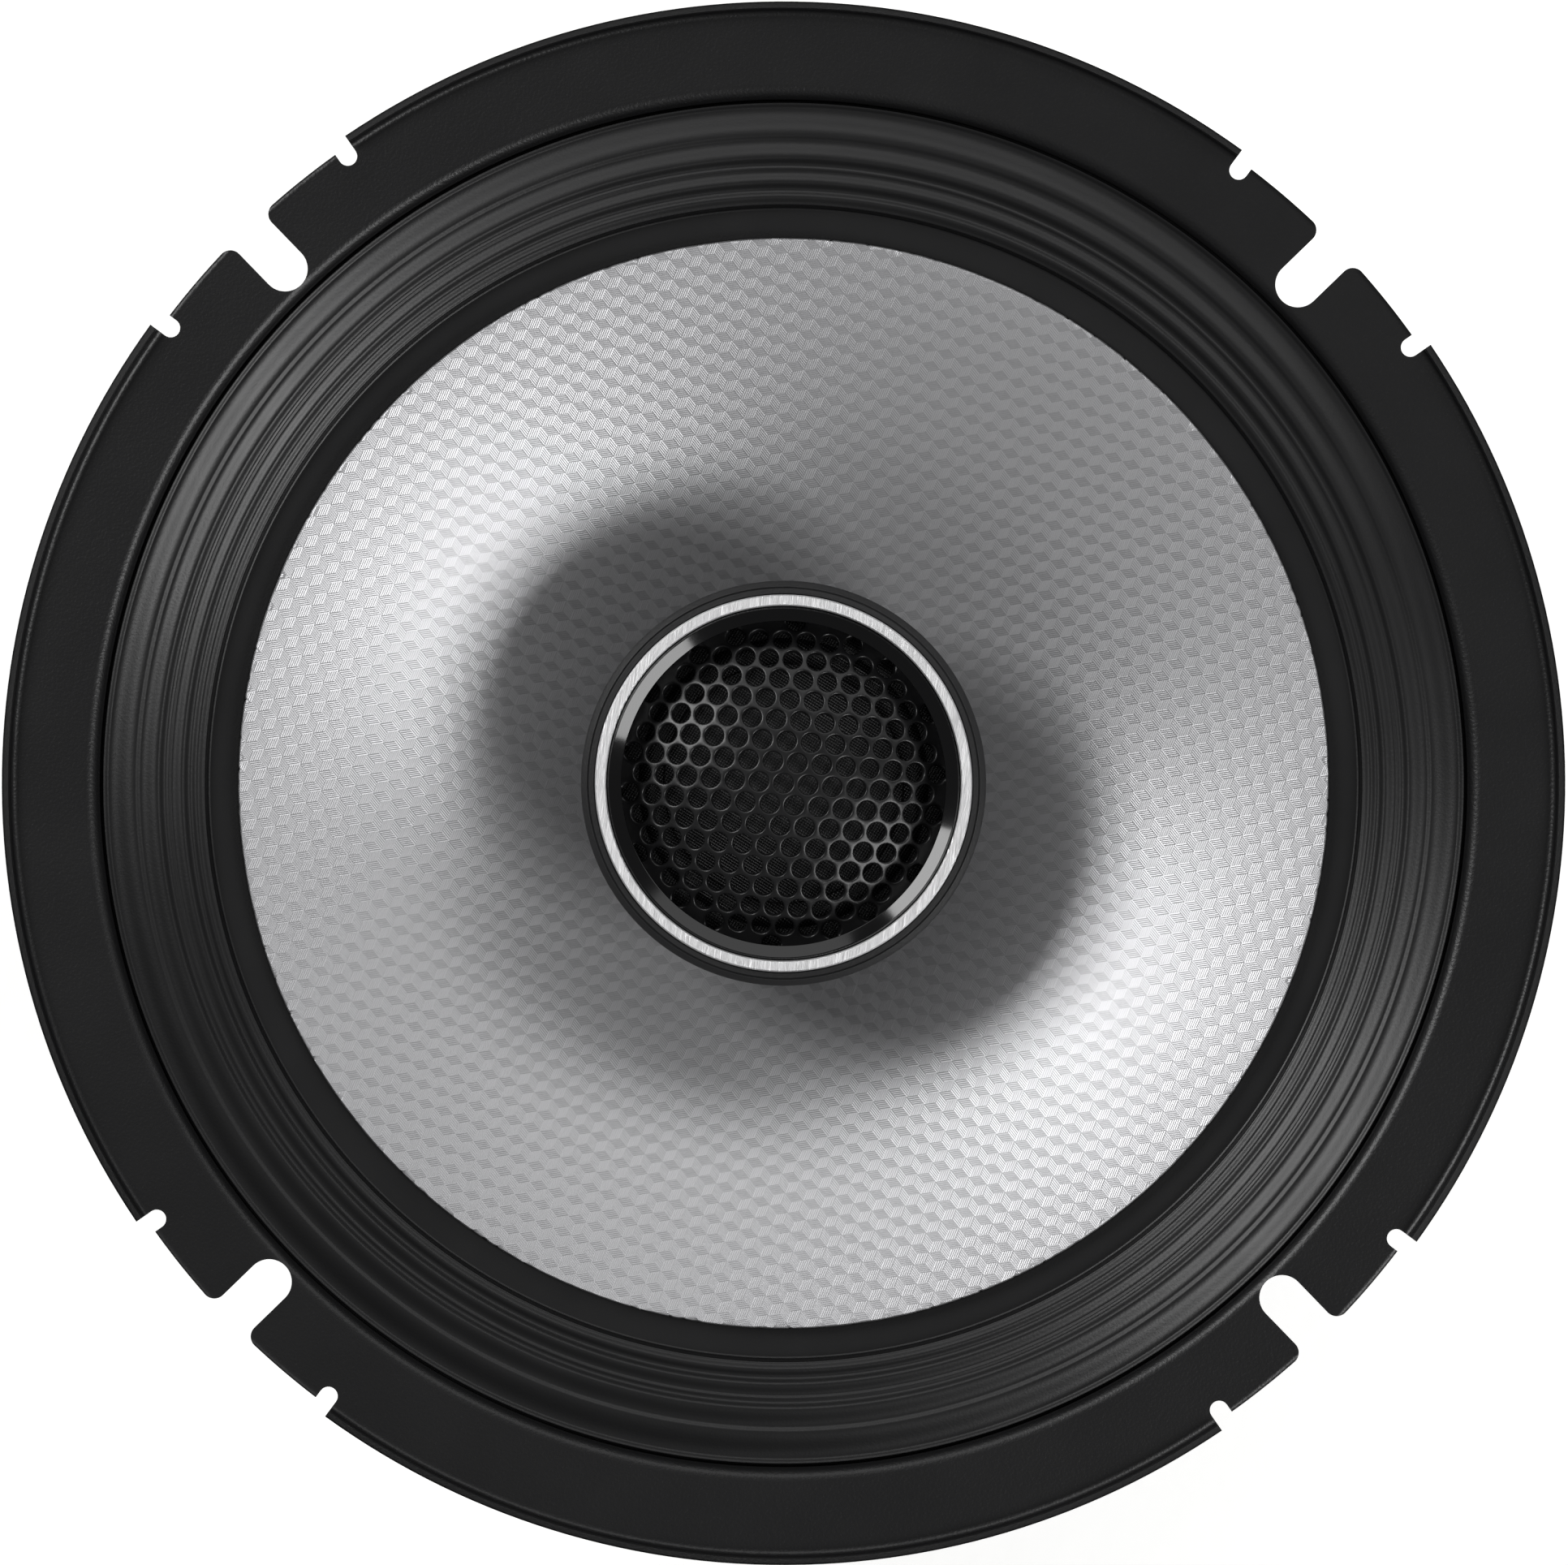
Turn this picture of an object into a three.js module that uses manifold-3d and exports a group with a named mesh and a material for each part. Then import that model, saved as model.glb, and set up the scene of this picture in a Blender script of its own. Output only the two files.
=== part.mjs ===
// A coaxial car loudspeaker: a pressed steel basket with a slotted flange, a woven cone on a
// ribbed rubber surround, a ferrite motor, and a dome tweeter on a hollow stem through the pole.
// Units are millimetres. The speaker's axis is Z, +Z points out of the cone, and Z = 0 is the
// rear face of the yoke. The terminals are on the -Y side.

import * as THREE from "three";
import { mergeVertices } from "three/addons/utils/BufferGeometryUtils.js";
import Module from "manifold-3d";

const wasm = await Module();
wasm.setup();

// ---------------------------------------------------------------- driving dimensions

// Overall
const FLANGE_R = 83; // outside of the raised rim
const MOUNT_DEPTH = 60; // rear of the yoke to the rear face of the flange

// Basket, pressed from one sheet
const SHEET = 0.8;
const RIM_HEIGHT = 1.8; // raised rim, above the front of the flange
const FLANGE_WIDTH = 10.3; // outside of the rim to the wall of the surround's recess
const RECESS_DEPTH = 3;
const LEDGE_WIDTH = 2.4; // the ledge in the recess that the surround is glued to
const BOWL_WALL = 5.3; // height of the straight wall under the ledge
const SHOULDER = 4; // height and width of the sloping shoulder under that wall
const SPIDER_RISE = 6.2; // floor of the basket to the spider's ledge
const FLOOR_R = 36;
const SPIDER_LEDGE_R = 38;
const SPIDER_LEDGE_WIDTH = 4.5;
const FLOOR_HOLE_GAP = 3.5; // winding to the hole in the floor
const LEG_HALF_WIDTH = 12; // half of each leg, where the windows are 57 mm out
const WINDOW_COUNT = 6;
const WINDOW_MARGIN = 2.2; // wall left at the inner and outer ends of a window
const WINDOW_CORNER_R = 4;

// Flange outline: four tabs, each with an open screw slot, between four lengths of raised rim
const SLOT_COUNT = 4;
const SLOT_WIDTH = 4.8;
const SLOT_WALL = 0.2; // slot's inner end to the back of the recess wall
const SLOT_CORNER_R = 1.3;
const TAB_INSET = 1; // edge of a tab inside the rim's outside
const NOTCH_OFFSET = 13.3; // slot's middle to the small relief notch beside the rim
const NOTCH_WIDTH = 2;
const NOTCH_DEPTH = 1.9;

// Motor
const YOKE_PLATE_T = 5;
const MAGNET_T = 14;
const TOP_PLATE_T = 5;
const MAGNET_R = 40;
const PLATE_INSET = 3; // steel plates inside the magnet's edge
const PLATE_CHAMFER = 0.8;
const MAGNET_HOLE_GAP = 4; // top plate's hole to the magnet's hole
const POLE_RISE = 1.5; // pole above the top plate
const RIVET_SHANK_R = 1.6;
const RIVET_HEAD_R = 2.8;
const RIVET_HEAD_T = 1.4;
const RIVET_GRIP = 3.6; // depth in the top plate
const RIVET_COUNT = 4;

// Voice coil
const FORMER_R = 12.8; // inside of the former
const FORMER_T = 0.25;
const WINDING_T = 0.45;
const WINDING_H = 11;
const POLE_GAP = 0.4;
const PLATE_GAP = 0.45;
const FORMER_TAIL = 0.6; // former below the winding

// Cone, surround and spider
const CONE_T = 0.6;
const CONE_PROUD = 0.6; // cone's front edge above the surround's ledge
const NECK_RISE = 6.2; // spider's ledge to the foot of the flare
const NECK_H = 2.2;
const CONE_STRAIGHT = 0.62; // share of the flare that is a straight cone, the rest is curved
const SURROUND_WIDTH = 12.5; // cone's edge to the bowl's wall
const SURROUND_T = 0.8;
const SURROUND_LAP = 2.8; // width glued under the cone's edge
const SURROUND_FLAT = 3.4; // flat band outside the cone's edge
const RECESS_GAP = 0.3; // surround to the recess wall
// The surround's ribs: share of the width from the flat band to the outer land, and height above
// the flat band. The first rises steeply, and each crest's outer flank is longer than its inner.
const RIBS = [
  [0.04, 1.35],
  [0.11, 1.7],
  [0.18, 1.45],
  [0.265, 2],
  [0.425, 1.65],
  [0.51, 2.2],
  [0.68, 1.75],
  [0.74, 1.95],
];
const SURROUND_LAND = 0.65; // flat outer land, inside the surround's edge
const SPIDER_T = 0.5;
const SPIDER_WAVE = 0.9; // half the height of the spider's corrugations
const SPIDER_WAVES = 5;
const SPIDER_COLLAR = 2.5; // flat ring glued to the former
const SPIDER_LAND = 1; // flat cloth inside the ledge, before the first wave
const SPIDER_END_GAP = 0.5;
const GLUE = 0.1;

// Tweeter
const TWEETER_R = 21.5;
const STEM_HEIGHT = 23.8; // pole to the underside of the tweeter's housing
const STEM_R = 6.5;
const SPIGOT_R = 3; // threaded end of the stem, through the pole
const STEM_BORE_R = 2;
const BORE_FLARE = 1.2; // countersink at the bore's top
const STEM_STEP = 2; // shoulder of the stem that the housing sits on
const HOLE_GAP = 0.2;
const NUT_ACROSS = 10;
const NUT_T = 3;
const WASHER_R = 6.2;
const WASHER_T = 0.8;
const NUT_RECESS_R = 7.6;
const NUT_RECESS_DEPTH = 6;
const HOUSING_FLOOR_T = 2.2;
const CHANNEL_DEPTH = 1.1; // channel for the leads, in the housing's floor
const HOUSING_TAPER = 3.5; // housing's foot inside its outside
const HOUSING_WALL = 3.5; // outside to the bore that holds the face plate
const HOUSING_TAPER_H = 7.7;
const HOUSING_FOOT_CHAMFER = 1;
const HOUSING_RIM_STEP = 1.2; // seat of the trim ring to the front of the rim
const HOUSING_RIM_BEVEL = 0.4;
const CUP_FLOOR_T = 1.8;
const CUP_WALL = 1.6;
const CUP_CHAMFER = 1;
const CUP_DEPTH = 4.4;
const FACE_PLATE_T = 1;
const TWEETER_COIL_R = 12.25; // inside of the tweeter's coil
const TWEETER_COIL_T = 0.4;
const TWEETER_COIL_H = 3.6;
const TWEETER_POLE_GAP = 0.25;
const TWEETER_PLATE_T = 1.6;
const TWEETER_MAGNET_INSET = 0.8;
const DOME_RISE = 4;
const DOME_T = 0.3;
const ROLL_WIDTH = 2.8;
const ROLL_HEIGHT = 1;
const GRILLE_SEAT = 1.6; // face plate's front to the ledge that the grille rests on
const GRILLE_T = 0.6;
const GRILLE_RISE = 4.9;
const GRILLE_RIM = 1.3; // flat edge of the grille, under the bezel
const RIM_WIDTH = 1.5; // black rim round the trim ring
const TRIM_WIDTH = 1.2;
const TRIM_HEIGHT = 2.4;
const TRIM_SEAT = 3.3; // grille's ledge to the seat of the trim ring
const BEZEL_WIDTH = 1.6;
const BEZEL_HEIGHT = 4.7;
const BEZEL_DROP = 0.5; // its sloping front, outer edge to inner edge
const BEZEL_LIP = 0.2; // flat outer edge of its front

// Terminals, on the basket's leg at -Y. The leg's own frame has X across the leg, Y up its
// slope, Z out of its rear face, and its origin in the middle of the board.
const BOARD_REACH = 6.5; // board's middle to the top of the leg's slope
const BOARD_WIDTH = 20;
const BOARD_HEIGHT = 12;
const BOARD_T = 1.6;
const BOARD_GAP = 0.3;
const BLADE_T = 0.8;
const BLADE_X = 5.6;
const BLADE_FOOT = 4.5;
const BLADE_REACH = 7; // blade past the board's edge
const BLADE_WIDTHS = { terminal_positive: 4.8, terminal_negative: 2.8 };
const BLADE_HOLE_R = 0.7;
const BLADE_TIP_WIDTH = 0.7; // bevel of the blade's tip, across and along the blade
const BLADE_TIP_LENGTH = 1;
const TERMINAL_RIVET_Y = 3.2;
const TERMINAL_RIVET_R = 1;
const TERMINAL_HEAD_R = 1.7;
const TERMINAL_HEAD_T = 0.7;
const LEAD_HOLE_Y = -4;
const LEAD_HOLE_R = 1.4;
const CAPACITOR_R = 4;
const CAPACITOR_LENGTH = 14;
const CAPACITOR_Y = -13.4;
const CAPACITOR_GAP = 0.4;
const CAPACITOR_EDGE = 0.6;
const LEAD_STUB = 3; // bare lead past each end of the capacitor
const WIRE_R = 0.3; // capacitor's bare leads
const TWEETER_LEAD_R = 0.4;
const TWEETER_LEAD_X = 0.55;
const TINSEL_R = 0.6;
const TOUCH = 0.3; // gap between two wires, or a wire and the piece that it is joined to
const GROOVE_WIDTH = 2.6;
const GROOVE_DEPTH = 1.8;

// Facets round a full turn
const WIDE = 48;
const MEDIUM = 36;
const SMALL = 24;
const TINY = 12;
const WIRE_SIDES = 8;

// ---------------------------------------------------------------- levels and radii

const zMagnet = YOKE_PLATE_T;
const zTopPlate = zMagnet + MAGNET_T;
const zMotor = zTopPlate + TOP_PLATE_T;
const zFloor = zMotor + SHEET;
const zSpider = zFloor + SPIDER_RISE;
const zFlange = MOUNT_DEPTH + SHEET;
const zLedge = zFlange - RECESS_DEPTH;
const zBowl = zLedge - BOWL_WALL;
const zShoulder = zBowl - SHOULDER;
const zPole = zMotor + POLE_RISE;
const zNeck = zSpider + NECK_RISE;
const zConeRim = zLedge + CONE_PROUD;
const zTweeter = zPole + STEM_HEIGHT;
const zCup = zTweeter + HOUSING_FLOOR_T;
const zFacePlate = zCup + CUP_FLOOR_T + CUP_DEPTH;
const zDiaphragm = zFacePlate + FACE_PLATE_T;
const zGrille = zDiaphragm + GRILLE_SEAT;
const zTrim = zGrille + TRIM_SEAT;
const domeBase = zDiaphragm + DOME_T;

const recessR = FLANGE_R - FLANGE_WIDTH;
const bowlR = recessR - LEDGE_WIDTH;
const shoulderR = bowlR - SHOULDER;
const spiderLedgeEnd = SPIDER_LEDGE_R + SPIDER_LEDGE_WIDTH;
const coneR = bowlR - SURROUND_WIDTH;
const tabR = FLANGE_R - TAB_INSET;
const formerOutR = FORMER_R + FORMER_T;
const windingR = formerOutR + WINDING_T;
const poleR = FORMER_R - POLE_GAP;
const plateHoleR = windingR + PLATE_GAP;
const plateR = MAGNET_R - PLATE_INSET;
const floorHoleR = windingR + FLOOR_HOLE_GAP;
const rivetCircleR = (floorHoleR + FLOOR_R) / 2;
const neckR = formerOutR + GLUE;
const trimR = TWEETER_R - RIM_WIDTH;
const trimInR = trimR - TRIM_WIDTH;
const bezelR = trimInR - GLUE;
const bezelInR = bezelR - BEZEL_WIDTH + GLUE;
const housingBoreR = TWEETER_R - HOUSING_WALL;
const tweeterCoilOutR = TWEETER_COIL_R + TWEETER_COIL_T;
const cupInR = tweeterCoilOutR + TWEETER_POLE_GAP;
const cupR = cupInR + CUP_WALL;

// ---------------------------------------------------------------- making solids

// A closed geometry as a manifold-3d solid.
function solid(geometry) {
  const bare = geometry.clone();
  bare.deleteAttribute("normal");
  bare.deleteAttribute("uv");
  const merged = mergeVertices(bare, 1e-3);
  return new wasm.Manifold(
    new wasm.Mesh({
      numProp: 3,
      vertProperties: merged.attributes.position.array,
      triVerts: new Uint32Array(merged.index.array),
    }),
  );
}

// A manifold-3d solid as a geometry.
function geometryOf(made) {
  const { vertProperties, triVerts } = made.getMesh();
  const geometry = new THREE.BufferGeometry();
  geometry.setAttribute("position", new THREE.BufferAttribute(vertProperties, 3));
  geometry.setIndex(new THREE.BufferAttribute(triVerts, 1));
  geometry.computeVertexNormals();
  return geometry;
}

// A profile of [radius, height] points, turned about Z. Its points may run either way round.
function turned(profile, segments = WIDE) {
  let area = 0;
  profile.forEach(([r, z], i) => {
    const [nextR, nextZ] = profile[(i + 1) % profile.length];
    area += r * nextZ - nextR * z;
  });
  const points = profile.map(([r, z]) => new THREE.Vector2(r, z));
  if (area < 0) points.reverse();
  if (points[0].x > 0) points.push(points[0].clone());
  return new THREE.LatheGeometry(points, segments).rotateX(Math.PI / 2);
}

// A ring of rectangular section.
function ring(inner, outer, low, high, segments) {
  return turned([[inner, low], [outer, low], [outer, high], [inner, high]], segments);
}

// The section of a sheet: its front line, and the same line one thickness behind it.
function sheetSection(line, thickness) {
  const normals = line.slice(1).map(([r, z], i) => {
    const along = new THREE.Vector2(r - line[i][0], z - line[i][1]).normalize();
    return new THREE.Vector2(along.y, -along.x);
  });
  const back = line.map(([r, z], i) => {
    const before = normals[Math.max(i - 1, 0)];
    const after = normals[Math.min(i, normals.length - 1)];
    const mitre = before.clone().add(after).normalize();
    const reach = thickness / mitre.dot(before);
    return [r + mitre.x * reach, z + mitre.y * reach];
  });
  return [...line, ...back.reverse()];
}

// A flat outline in X and Y, raised from one height to another.
function raised(shape, low, high, curveSegments = 4) {
  const options = { depth: high - low, bevelEnabled: false, curveSegments };
  return new THREE.ExtrudeGeometry(shape, options).translate(0, 0, low);
}

// A round wire through hand-placed points.
function wire(points, radius, steps) {
  const section = new THREE.Shape();
  section.absarc(0, 0, radius, 0, 2 * Math.PI, false);
  const path = new THREE.CatmullRomCurve3(points, false, "centripetal");
  const options = { steps, extrudePath: path, curveSegments: WIRE_SIDES / 2 };
  return new THREE.ExtrudeGeometry(section, options);
}

// A round bar of a given radius between two heights, centred on (x, y).
function bar(radius, low, high, x = 0, y = 0, segments = SMALL) {
  return turned([[0, low], [radius, low], [radius, high], [0, high]], segments).translate(x, y, 0);
}

function turn(geometry, angle) {
  return geometry.clone().rotateZ(angle);
}

const speaker = new THREE.Group();

// Adds a named piece to the speaker, or to a group that is turned with one of its parts.
function piece(name, geometry, material, parent = speaker) {
  const mesh = new THREE.Mesh(geometry, material);
  mesh.name = name;
  parent.add(mesh);
  return mesh;
}

const finish = (color, roughness, metalness) =>
  new THREE.MeshStandardMaterial({ color, roughness, metalness });

const blackPaint = finish(0x2a2a2d, 0.55, 0.2);
const blackRubber = finish(0x2c2c2e, 0.7, 0);
const silverWeave = finish(0xa9a9aa, 0.4, 0.6);
const zincSteel = finish(0x9fa3a6, 0.4, 0.9);
const ferrite = finish(0x3a3a3c, 0.8, 0);
const brushedAluminium = finish(0xdadadc, 0.3, 1);
const bareAluminium = finish(0xb9babc, 0.35, 1);
const copper = finish(0xb4643a, 0.35, 1);
const tinnedBrass = finish(0xc9c4b4, 0.3, 1);
const glossBlack = finish(0x101012, 0.1, 0);
const mattBlack = finish(0x232326, 0.6, 0);
const blackCloth = finish(0x141416, 0.9, 0);
const resinCloth = finish(0xb98a4e, 0.85, 0);
const brownBoard = finish(0x6b4a2c, 0.7, 0);
const blueSleeve = finish(0x2a3c58, 0.35, 0);
const nickelPlate = finish(0xc6c2ba, 0.25, 1);
const greyInsulation = finish(0x8a8a8c, 0.5, 0);

// ---------------------------------------------------------------- basket

// Height of the sloping wall's front face at a radius.
const slope = (zShoulder - zSpider) / (shoulderR - spiderLedgeEnd);
const slopeAngle = Math.atan(slope);

// The frame of the leg at -Y, where the terminals are fixed.
const boardR = shoulderR - BOARD_REACH;
const legRear = new THREE.Vector2(boardR, zSpider + (boardR - spiderLedgeEnd) * slope).add(
  new THREE.Vector2(Math.sin(slopeAngle), -Math.cos(slopeAngle)).multiplyScalar(SHEET),
);
const leg = new THREE.Group();
leg.position.set(0, -legRear.x, legRear.y);
leg.quaternion.setFromRotationMatrix(
  new THREE.Matrix4().makeBasis(
    new THREE.Vector3(1, 0, 0),
    new THREE.Vector3(0, -Math.cos(slopeAngle), Math.sin(slopeAngle)),
    new THREE.Vector3(0, -Math.sin(slopeAngle), -Math.cos(slopeAngle)),
  ),
);
leg.updateMatrix();
speaker.add(leg);

// A point of the leg's frame, in the speaker's frame.
function onLeg(x, y, z) {
  return new THREE.Vector3(x, y, z).applyMatrix4(leg.matrix);
}

// A sector of a ring with rounded corners, centred on +X.
function roundedSector(inner, outer, half, corner) {
  const at = (r, angle) => [r * Math.cos(angle), r * Math.sin(angle)];
  const outerHalf = half - corner / outer;
  const innerHalf = half - corner / inner;
  const shape = new THREE.Shape();
  shape.moveTo(...at(outer, -outerHalf));
  shape.absarc(0, 0, outer, -outerHalf, outerHalf, false);
  shape.quadraticCurveTo(...at(outer, half), ...at(outer - corner, half));
  shape.lineTo(...at(inner + corner, half));
  shape.quadraticCurveTo(...at(inner, half), ...at(inner, innerHalf));
  shape.absarc(0, 0, inner, innerHalf, -innerHalf, true);
  shape.quadraticCurveTo(...at(inner, -half), ...at(inner + corner, -half));
  shape.lineTo(...at(outer - corner, -half));
  shape.quadraticCurveTo(...at(outer, -half), ...at(outer, -outerHalf));
  return shape;
}

// The open screw slot along +X, with rounded tab corners at its mouth.
function slotShape() {
  const half = SLOT_WIDTH / 2;
  const corner = SLOT_CORNER_R;
  const middle = recessR + SHEET + SLOT_WALL + half;
  const mouth = Math.sqrt(tabR ** 2 - (half + corner) ** 2) - corner;
  const shape = new THREE.Shape();
  shape.moveTo(middle, -half);
  shape.lineTo(mouth, -half);
  shape.absarc(mouth, -half - corner, corner, Math.PI / 2, 0, true);
  shape.lineTo(FLANGE_R + corner, -half - corner);
  shape.lineTo(FLANGE_R + corner, half + corner);
  shape.lineTo(mouth + corner, half + corner);
  shape.absarc(mouth, half + corner, corner, 0, -Math.PI / 2, true);
  shape.lineTo(middle, half);
  shape.absarc(middle, 0, half, Math.PI / 2, 1.5 * Math.PI, false);
  return shape;
}

// The small round-ended relief notch along +X.
function notchShape() {
  const half = NOTCH_WIDTH / 2;
  const middle = tabR - NOTCH_DEPTH + half;
  const shape = new THREE.Shape();
  shape.moveTo(middle, -half);
  shape.lineTo(FLANGE_R + half, -half);
  shape.lineTo(FLANGE_R + half, half);
  shape.lineTo(middle, half);
  shape.absarc(middle, 0, half, Math.PI / 2, 1.5 * Math.PI, false);
  return shape;
}

// What is cut away outside a tab.
function tabEdgeShape(half) {
  const shape = new THREE.Shape();
  shape.absarc(0, 0, FLANGE_R + SLOT_CORNER_R, -half, half, false);
  shape.absarc(0, 0, tabR, half, -half, true);
  return shape;
}

function makeBasket() {
  const line = [
    [floorHoleR, zFloor],
    [FLOOR_R, zFloor],
    [SPIDER_LEDGE_R, zSpider],
    [spiderLedgeEnd, zSpider],
    [shoulderR, zShoulder],
    [bowlR, zBowl],
    [bowlR, zLedge],
    [recessR, zLedge],
    [recessR, zFlange],
    [FLANGE_R - SHEET, zFlange],
    [FLANGE_R - SHEET, zFlange + RIM_HEIGHT],
  ];
  let made = solid(turned(sheetSection(line, SHEET)));

  const windowAngle = Math.PI / WINDOW_COUNT - LEG_HALF_WIDTH / boardR;
  const window = raised(
    roundedSector(
      spiderLedgeEnd + WINDOW_MARGIN,
      shoulderR - WINDOW_MARGIN,
      windowAngle,
      WINDOW_CORNER_R,
    ),
    zSpider - 2 * SHEET,
    zShoulder + SHEET,
  );
  for (let i = 0; i < WINDOW_COUNT; i++) {
    made = made.subtract(solid(turn(window, (i * 2 * Math.PI) / WINDOW_COUNT)));
  }

  const low = MOUNT_DEPTH - SHEET;
  const high = zFlange + RIM_HEIGHT + SHEET;
  const notchAngle = NOTCH_OFFSET / tabR;
  const slot = raised(slotShape(), low, high);
  const notch = raised(notchShape(), low, high);
  const tabEdge = raised(tabEdgeShape(notchAngle), low, high);
  for (let i = 0; i < SLOT_COUNT; i++) {
    const middle = ((i + 0.5) * 2 * Math.PI) / SLOT_COUNT;
    made = made.subtract(solid(turn(tabEdge, middle)));
    made = made.subtract(solid(turn(slot, middle)));
    made = made.subtract(solid(turn(notch, middle - notchAngle)));
    made = made.subtract(solid(turn(notch, middle + notchAngle)));
  }

  for (let i = 0; i < RIVET_COUNT; i++) {
    made = made.subtract(solid(rivetHole(i)));
  }
  const through = 3 * SHEET;
  for (const y of [-TERMINAL_RIVET_Y, TERMINAL_RIVET_Y]) {
    const hole = bar(TERMINAL_RIVET_R + BOARD_GAP, -through, through, 0, y, TINY);
    made = made.subtract(solid(hole.applyMatrix4(leg.matrix)));
  }
  for (const x of [-BLADE_X, BLADE_X]) {
    const hole = bar(LEAD_HOLE_R, -through, through, x, LEAD_HOLE_Y, TINY);
    made = made.subtract(solid(hole.applyMatrix4(leg.matrix)));
  }
  return geometryOf(made);
}

// Where the rivets that hold the basket to the top plate stand.
function rivetPlace(i) {
  const angle = ((i + 0.5) * 2 * Math.PI) / RIVET_COUNT;
  return [rivetCircleR * Math.cos(angle), rivetCircleR * Math.sin(angle)];
}

function rivetHole(i) {
  const low = zMotor - RIVET_GRIP - HOLE_GAP;
  return bar(RIVET_SHANK_R + HOLE_GAP, low, zFloor + SHEET, ...rivetPlace(i), TINY);
}

piece("basket", makeBasket(), blackPaint);

// ---------------------------------------------------------------- motor

function makeTopPlate() {
  const c = PLATE_CHAMFER;
  let made = solid(
    turned([
      [plateHoleR, zTopPlate],
      [plateR, zTopPlate],
      [plateR, zMotor - c],
      [plateR - c, zMotor],
      [plateHoleR, zMotor],
    ]),
  );
  for (let i = 0; i < RIVET_COUNT; i++) {
    made = made.subtract(solid(rivetHole(i)));
  }
  return geometryOf(made);
}

// The rear plate and the pole are one forging, with a bore for the stem, a recess for its nut
// and a groove across the rear face for the tweeter's leads.
function makeYoke() {
  const c = PLATE_CHAMFER;
  const body = turned([
    [SPIGOT_R + HOLE_GAP, NUT_RECESS_DEPTH],
    [NUT_RECESS_R, NUT_RECESS_DEPTH],
    [NUT_RECESS_R, 0],
    [plateR - c, 0],
    [plateR, c],
    [plateR, zMagnet],
    [poleR, zMagnet],
    [poleR, zPole - c],
    [poleR - c, zPole],
    [SPIGOT_R + HOLE_GAP, zPole],
  ]);
  const groove = new THREE.BoxGeometry(GROOVE_WIDTH, MAGNET_R, 2 * GROOVE_DEPTH);
  groove.translate(0, -MAGNET_R / 2 - SPIGOT_R, 0);
  return geometryOf(solid(body).subtract(solid(groove)));
}

piece("yoke", makeYoke(), zincSteel);
piece("ferrite_magnet", ring(plateHoleR + MAGNET_HOLE_GAP, MAGNET_R, zMagnet, zTopPlate), ferrite);
piece("top_plate", makeTopPlate(), zincSteel);

// The front of a domed rivet head.
function domedHead(radius, height, base) {
  const steps = 3;
  const line = [];
  for (let i = 0; i <= steps; i++) {
    const angle = (i * Math.PI) / 2 / steps;
    line.push([radius * Math.cos(angle), base + height * Math.sin(angle)]);
  }
  return line;
}

for (let i = 0; i < RIVET_COUNT; i++) {
  const rivet = turned(
    [
      [0, zMotor - RIVET_GRIP],
      [RIVET_SHANK_R, zMotor - RIVET_GRIP],
      [RIVET_SHANK_R, zFloor],
      ...domedHead(RIVET_HEAD_R, RIVET_HEAD_T, zFloor),
    ],
    TINY,
  );
  piece(`motor_rivet_${i + 1}`, rivet.translate(...rivetPlace(i), 0), zincSteel);
}

// ---------------------------------------------------------------- cone and voice coil

// Height of the cone's front face at a radius: part straight cone, part curved flare.
function coneHeight(r) {
  const inward = (coneR - r) / (coneR - neckR);
  const share = CONE_STRAIGHT * inward + (1 - CONE_STRAIGHT) * inward ** 2;
  return zConeRim - (zConeRim - zNeck) * share;
}

function makeCone() {
  const rings = 6;
  const line = [[neckR, zNeck - NECK_H]];
  for (let i = 0; i <= rings; i++) {
    const r = neckR + ((coneR - neckR) * i) / rings;
    line.push([r, coneHeight(r)]);
  }
  return turned(sheetSection(line, CONE_T));
}

const windingLow = (zTopPlate + zMotor - WINDING_H) / 2;
piece("cone", makeCone(), silverWeave);
piece(
  "voice_coil_former",
  ring(FORMER_R, formerOutR, windingLow - FORMER_TAIL, zNeck - GLUE),
  bareAluminium,
);
piece(
  "voice_coil_winding",
  ring(formerOutR + GLUE / 2, windingR, windingLow, windingLow + WINDING_H),
  copper,
);

// ---------------------------------------------------------------- surround and spider

// Rubber surround: glued under the cone's edge, a flat band, the ribs, and an outer land that is
// glued on the ledge of the recess.
function makeSurround() {
  const outer = recessR - RECESS_GAP;
  const lapR = coneR - SURROUND_LAP;
  const underCone = (r) => coneHeight(r) - CONE_T / Math.cos(slopeAngle) - 2 * GLUE;
  const zFlat = underCone(coneR);
  const zLand = zLedge + SURROUND_T;
  const flatEnd = coneR + SURROUND_FLAT;
  const landStart = outer - SURROUND_LAND;
  const line = [
    [lapR, underCone(lapR)],
    [coneR, zFlat],
    [flatEnd, zFlat],
  ];
  for (const [share, height] of RIBS) {
    line.push([flatEnd + (landStart - flatEnd) * share, zFlat + height]);
  }
  line.push([landStart, zLand], [outer, zLand]);
  return turned(sheetSection(line, SURROUND_T));
}

// Resin-treated cloth, pressed into corrugations.
function makeSpider() {
  const inner = formerOutR + GLUE;
  const waveStart = inner + SPIDER_COLLAR;
  const waveEnd = SPIDER_LEDGE_R - SPIDER_LAND;
  const z = zSpider + SPIDER_T;
  const line = [[inner, z], [waveStart, z]];
  const crests = SPIDER_WAVES * 2;
  for (let i = 1; i < crests; i++) {
    const r = waveStart + ((waveEnd - waveStart) * i) / crests;
    line.push([r, z + (i % 2 ? SPIDER_WAVE : -SPIDER_WAVE)]);
  }
  line.push([spiderLedgeEnd - SPIDER_END_GAP, z]);
  return turned(sheetSection(line, SPIDER_T), MEDIUM);
}

piece("surround", makeSurround(), blackRubber);
piece("spider", makeSpider(), resinCloth);

// ---------------------------------------------------------------- tweeter

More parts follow.
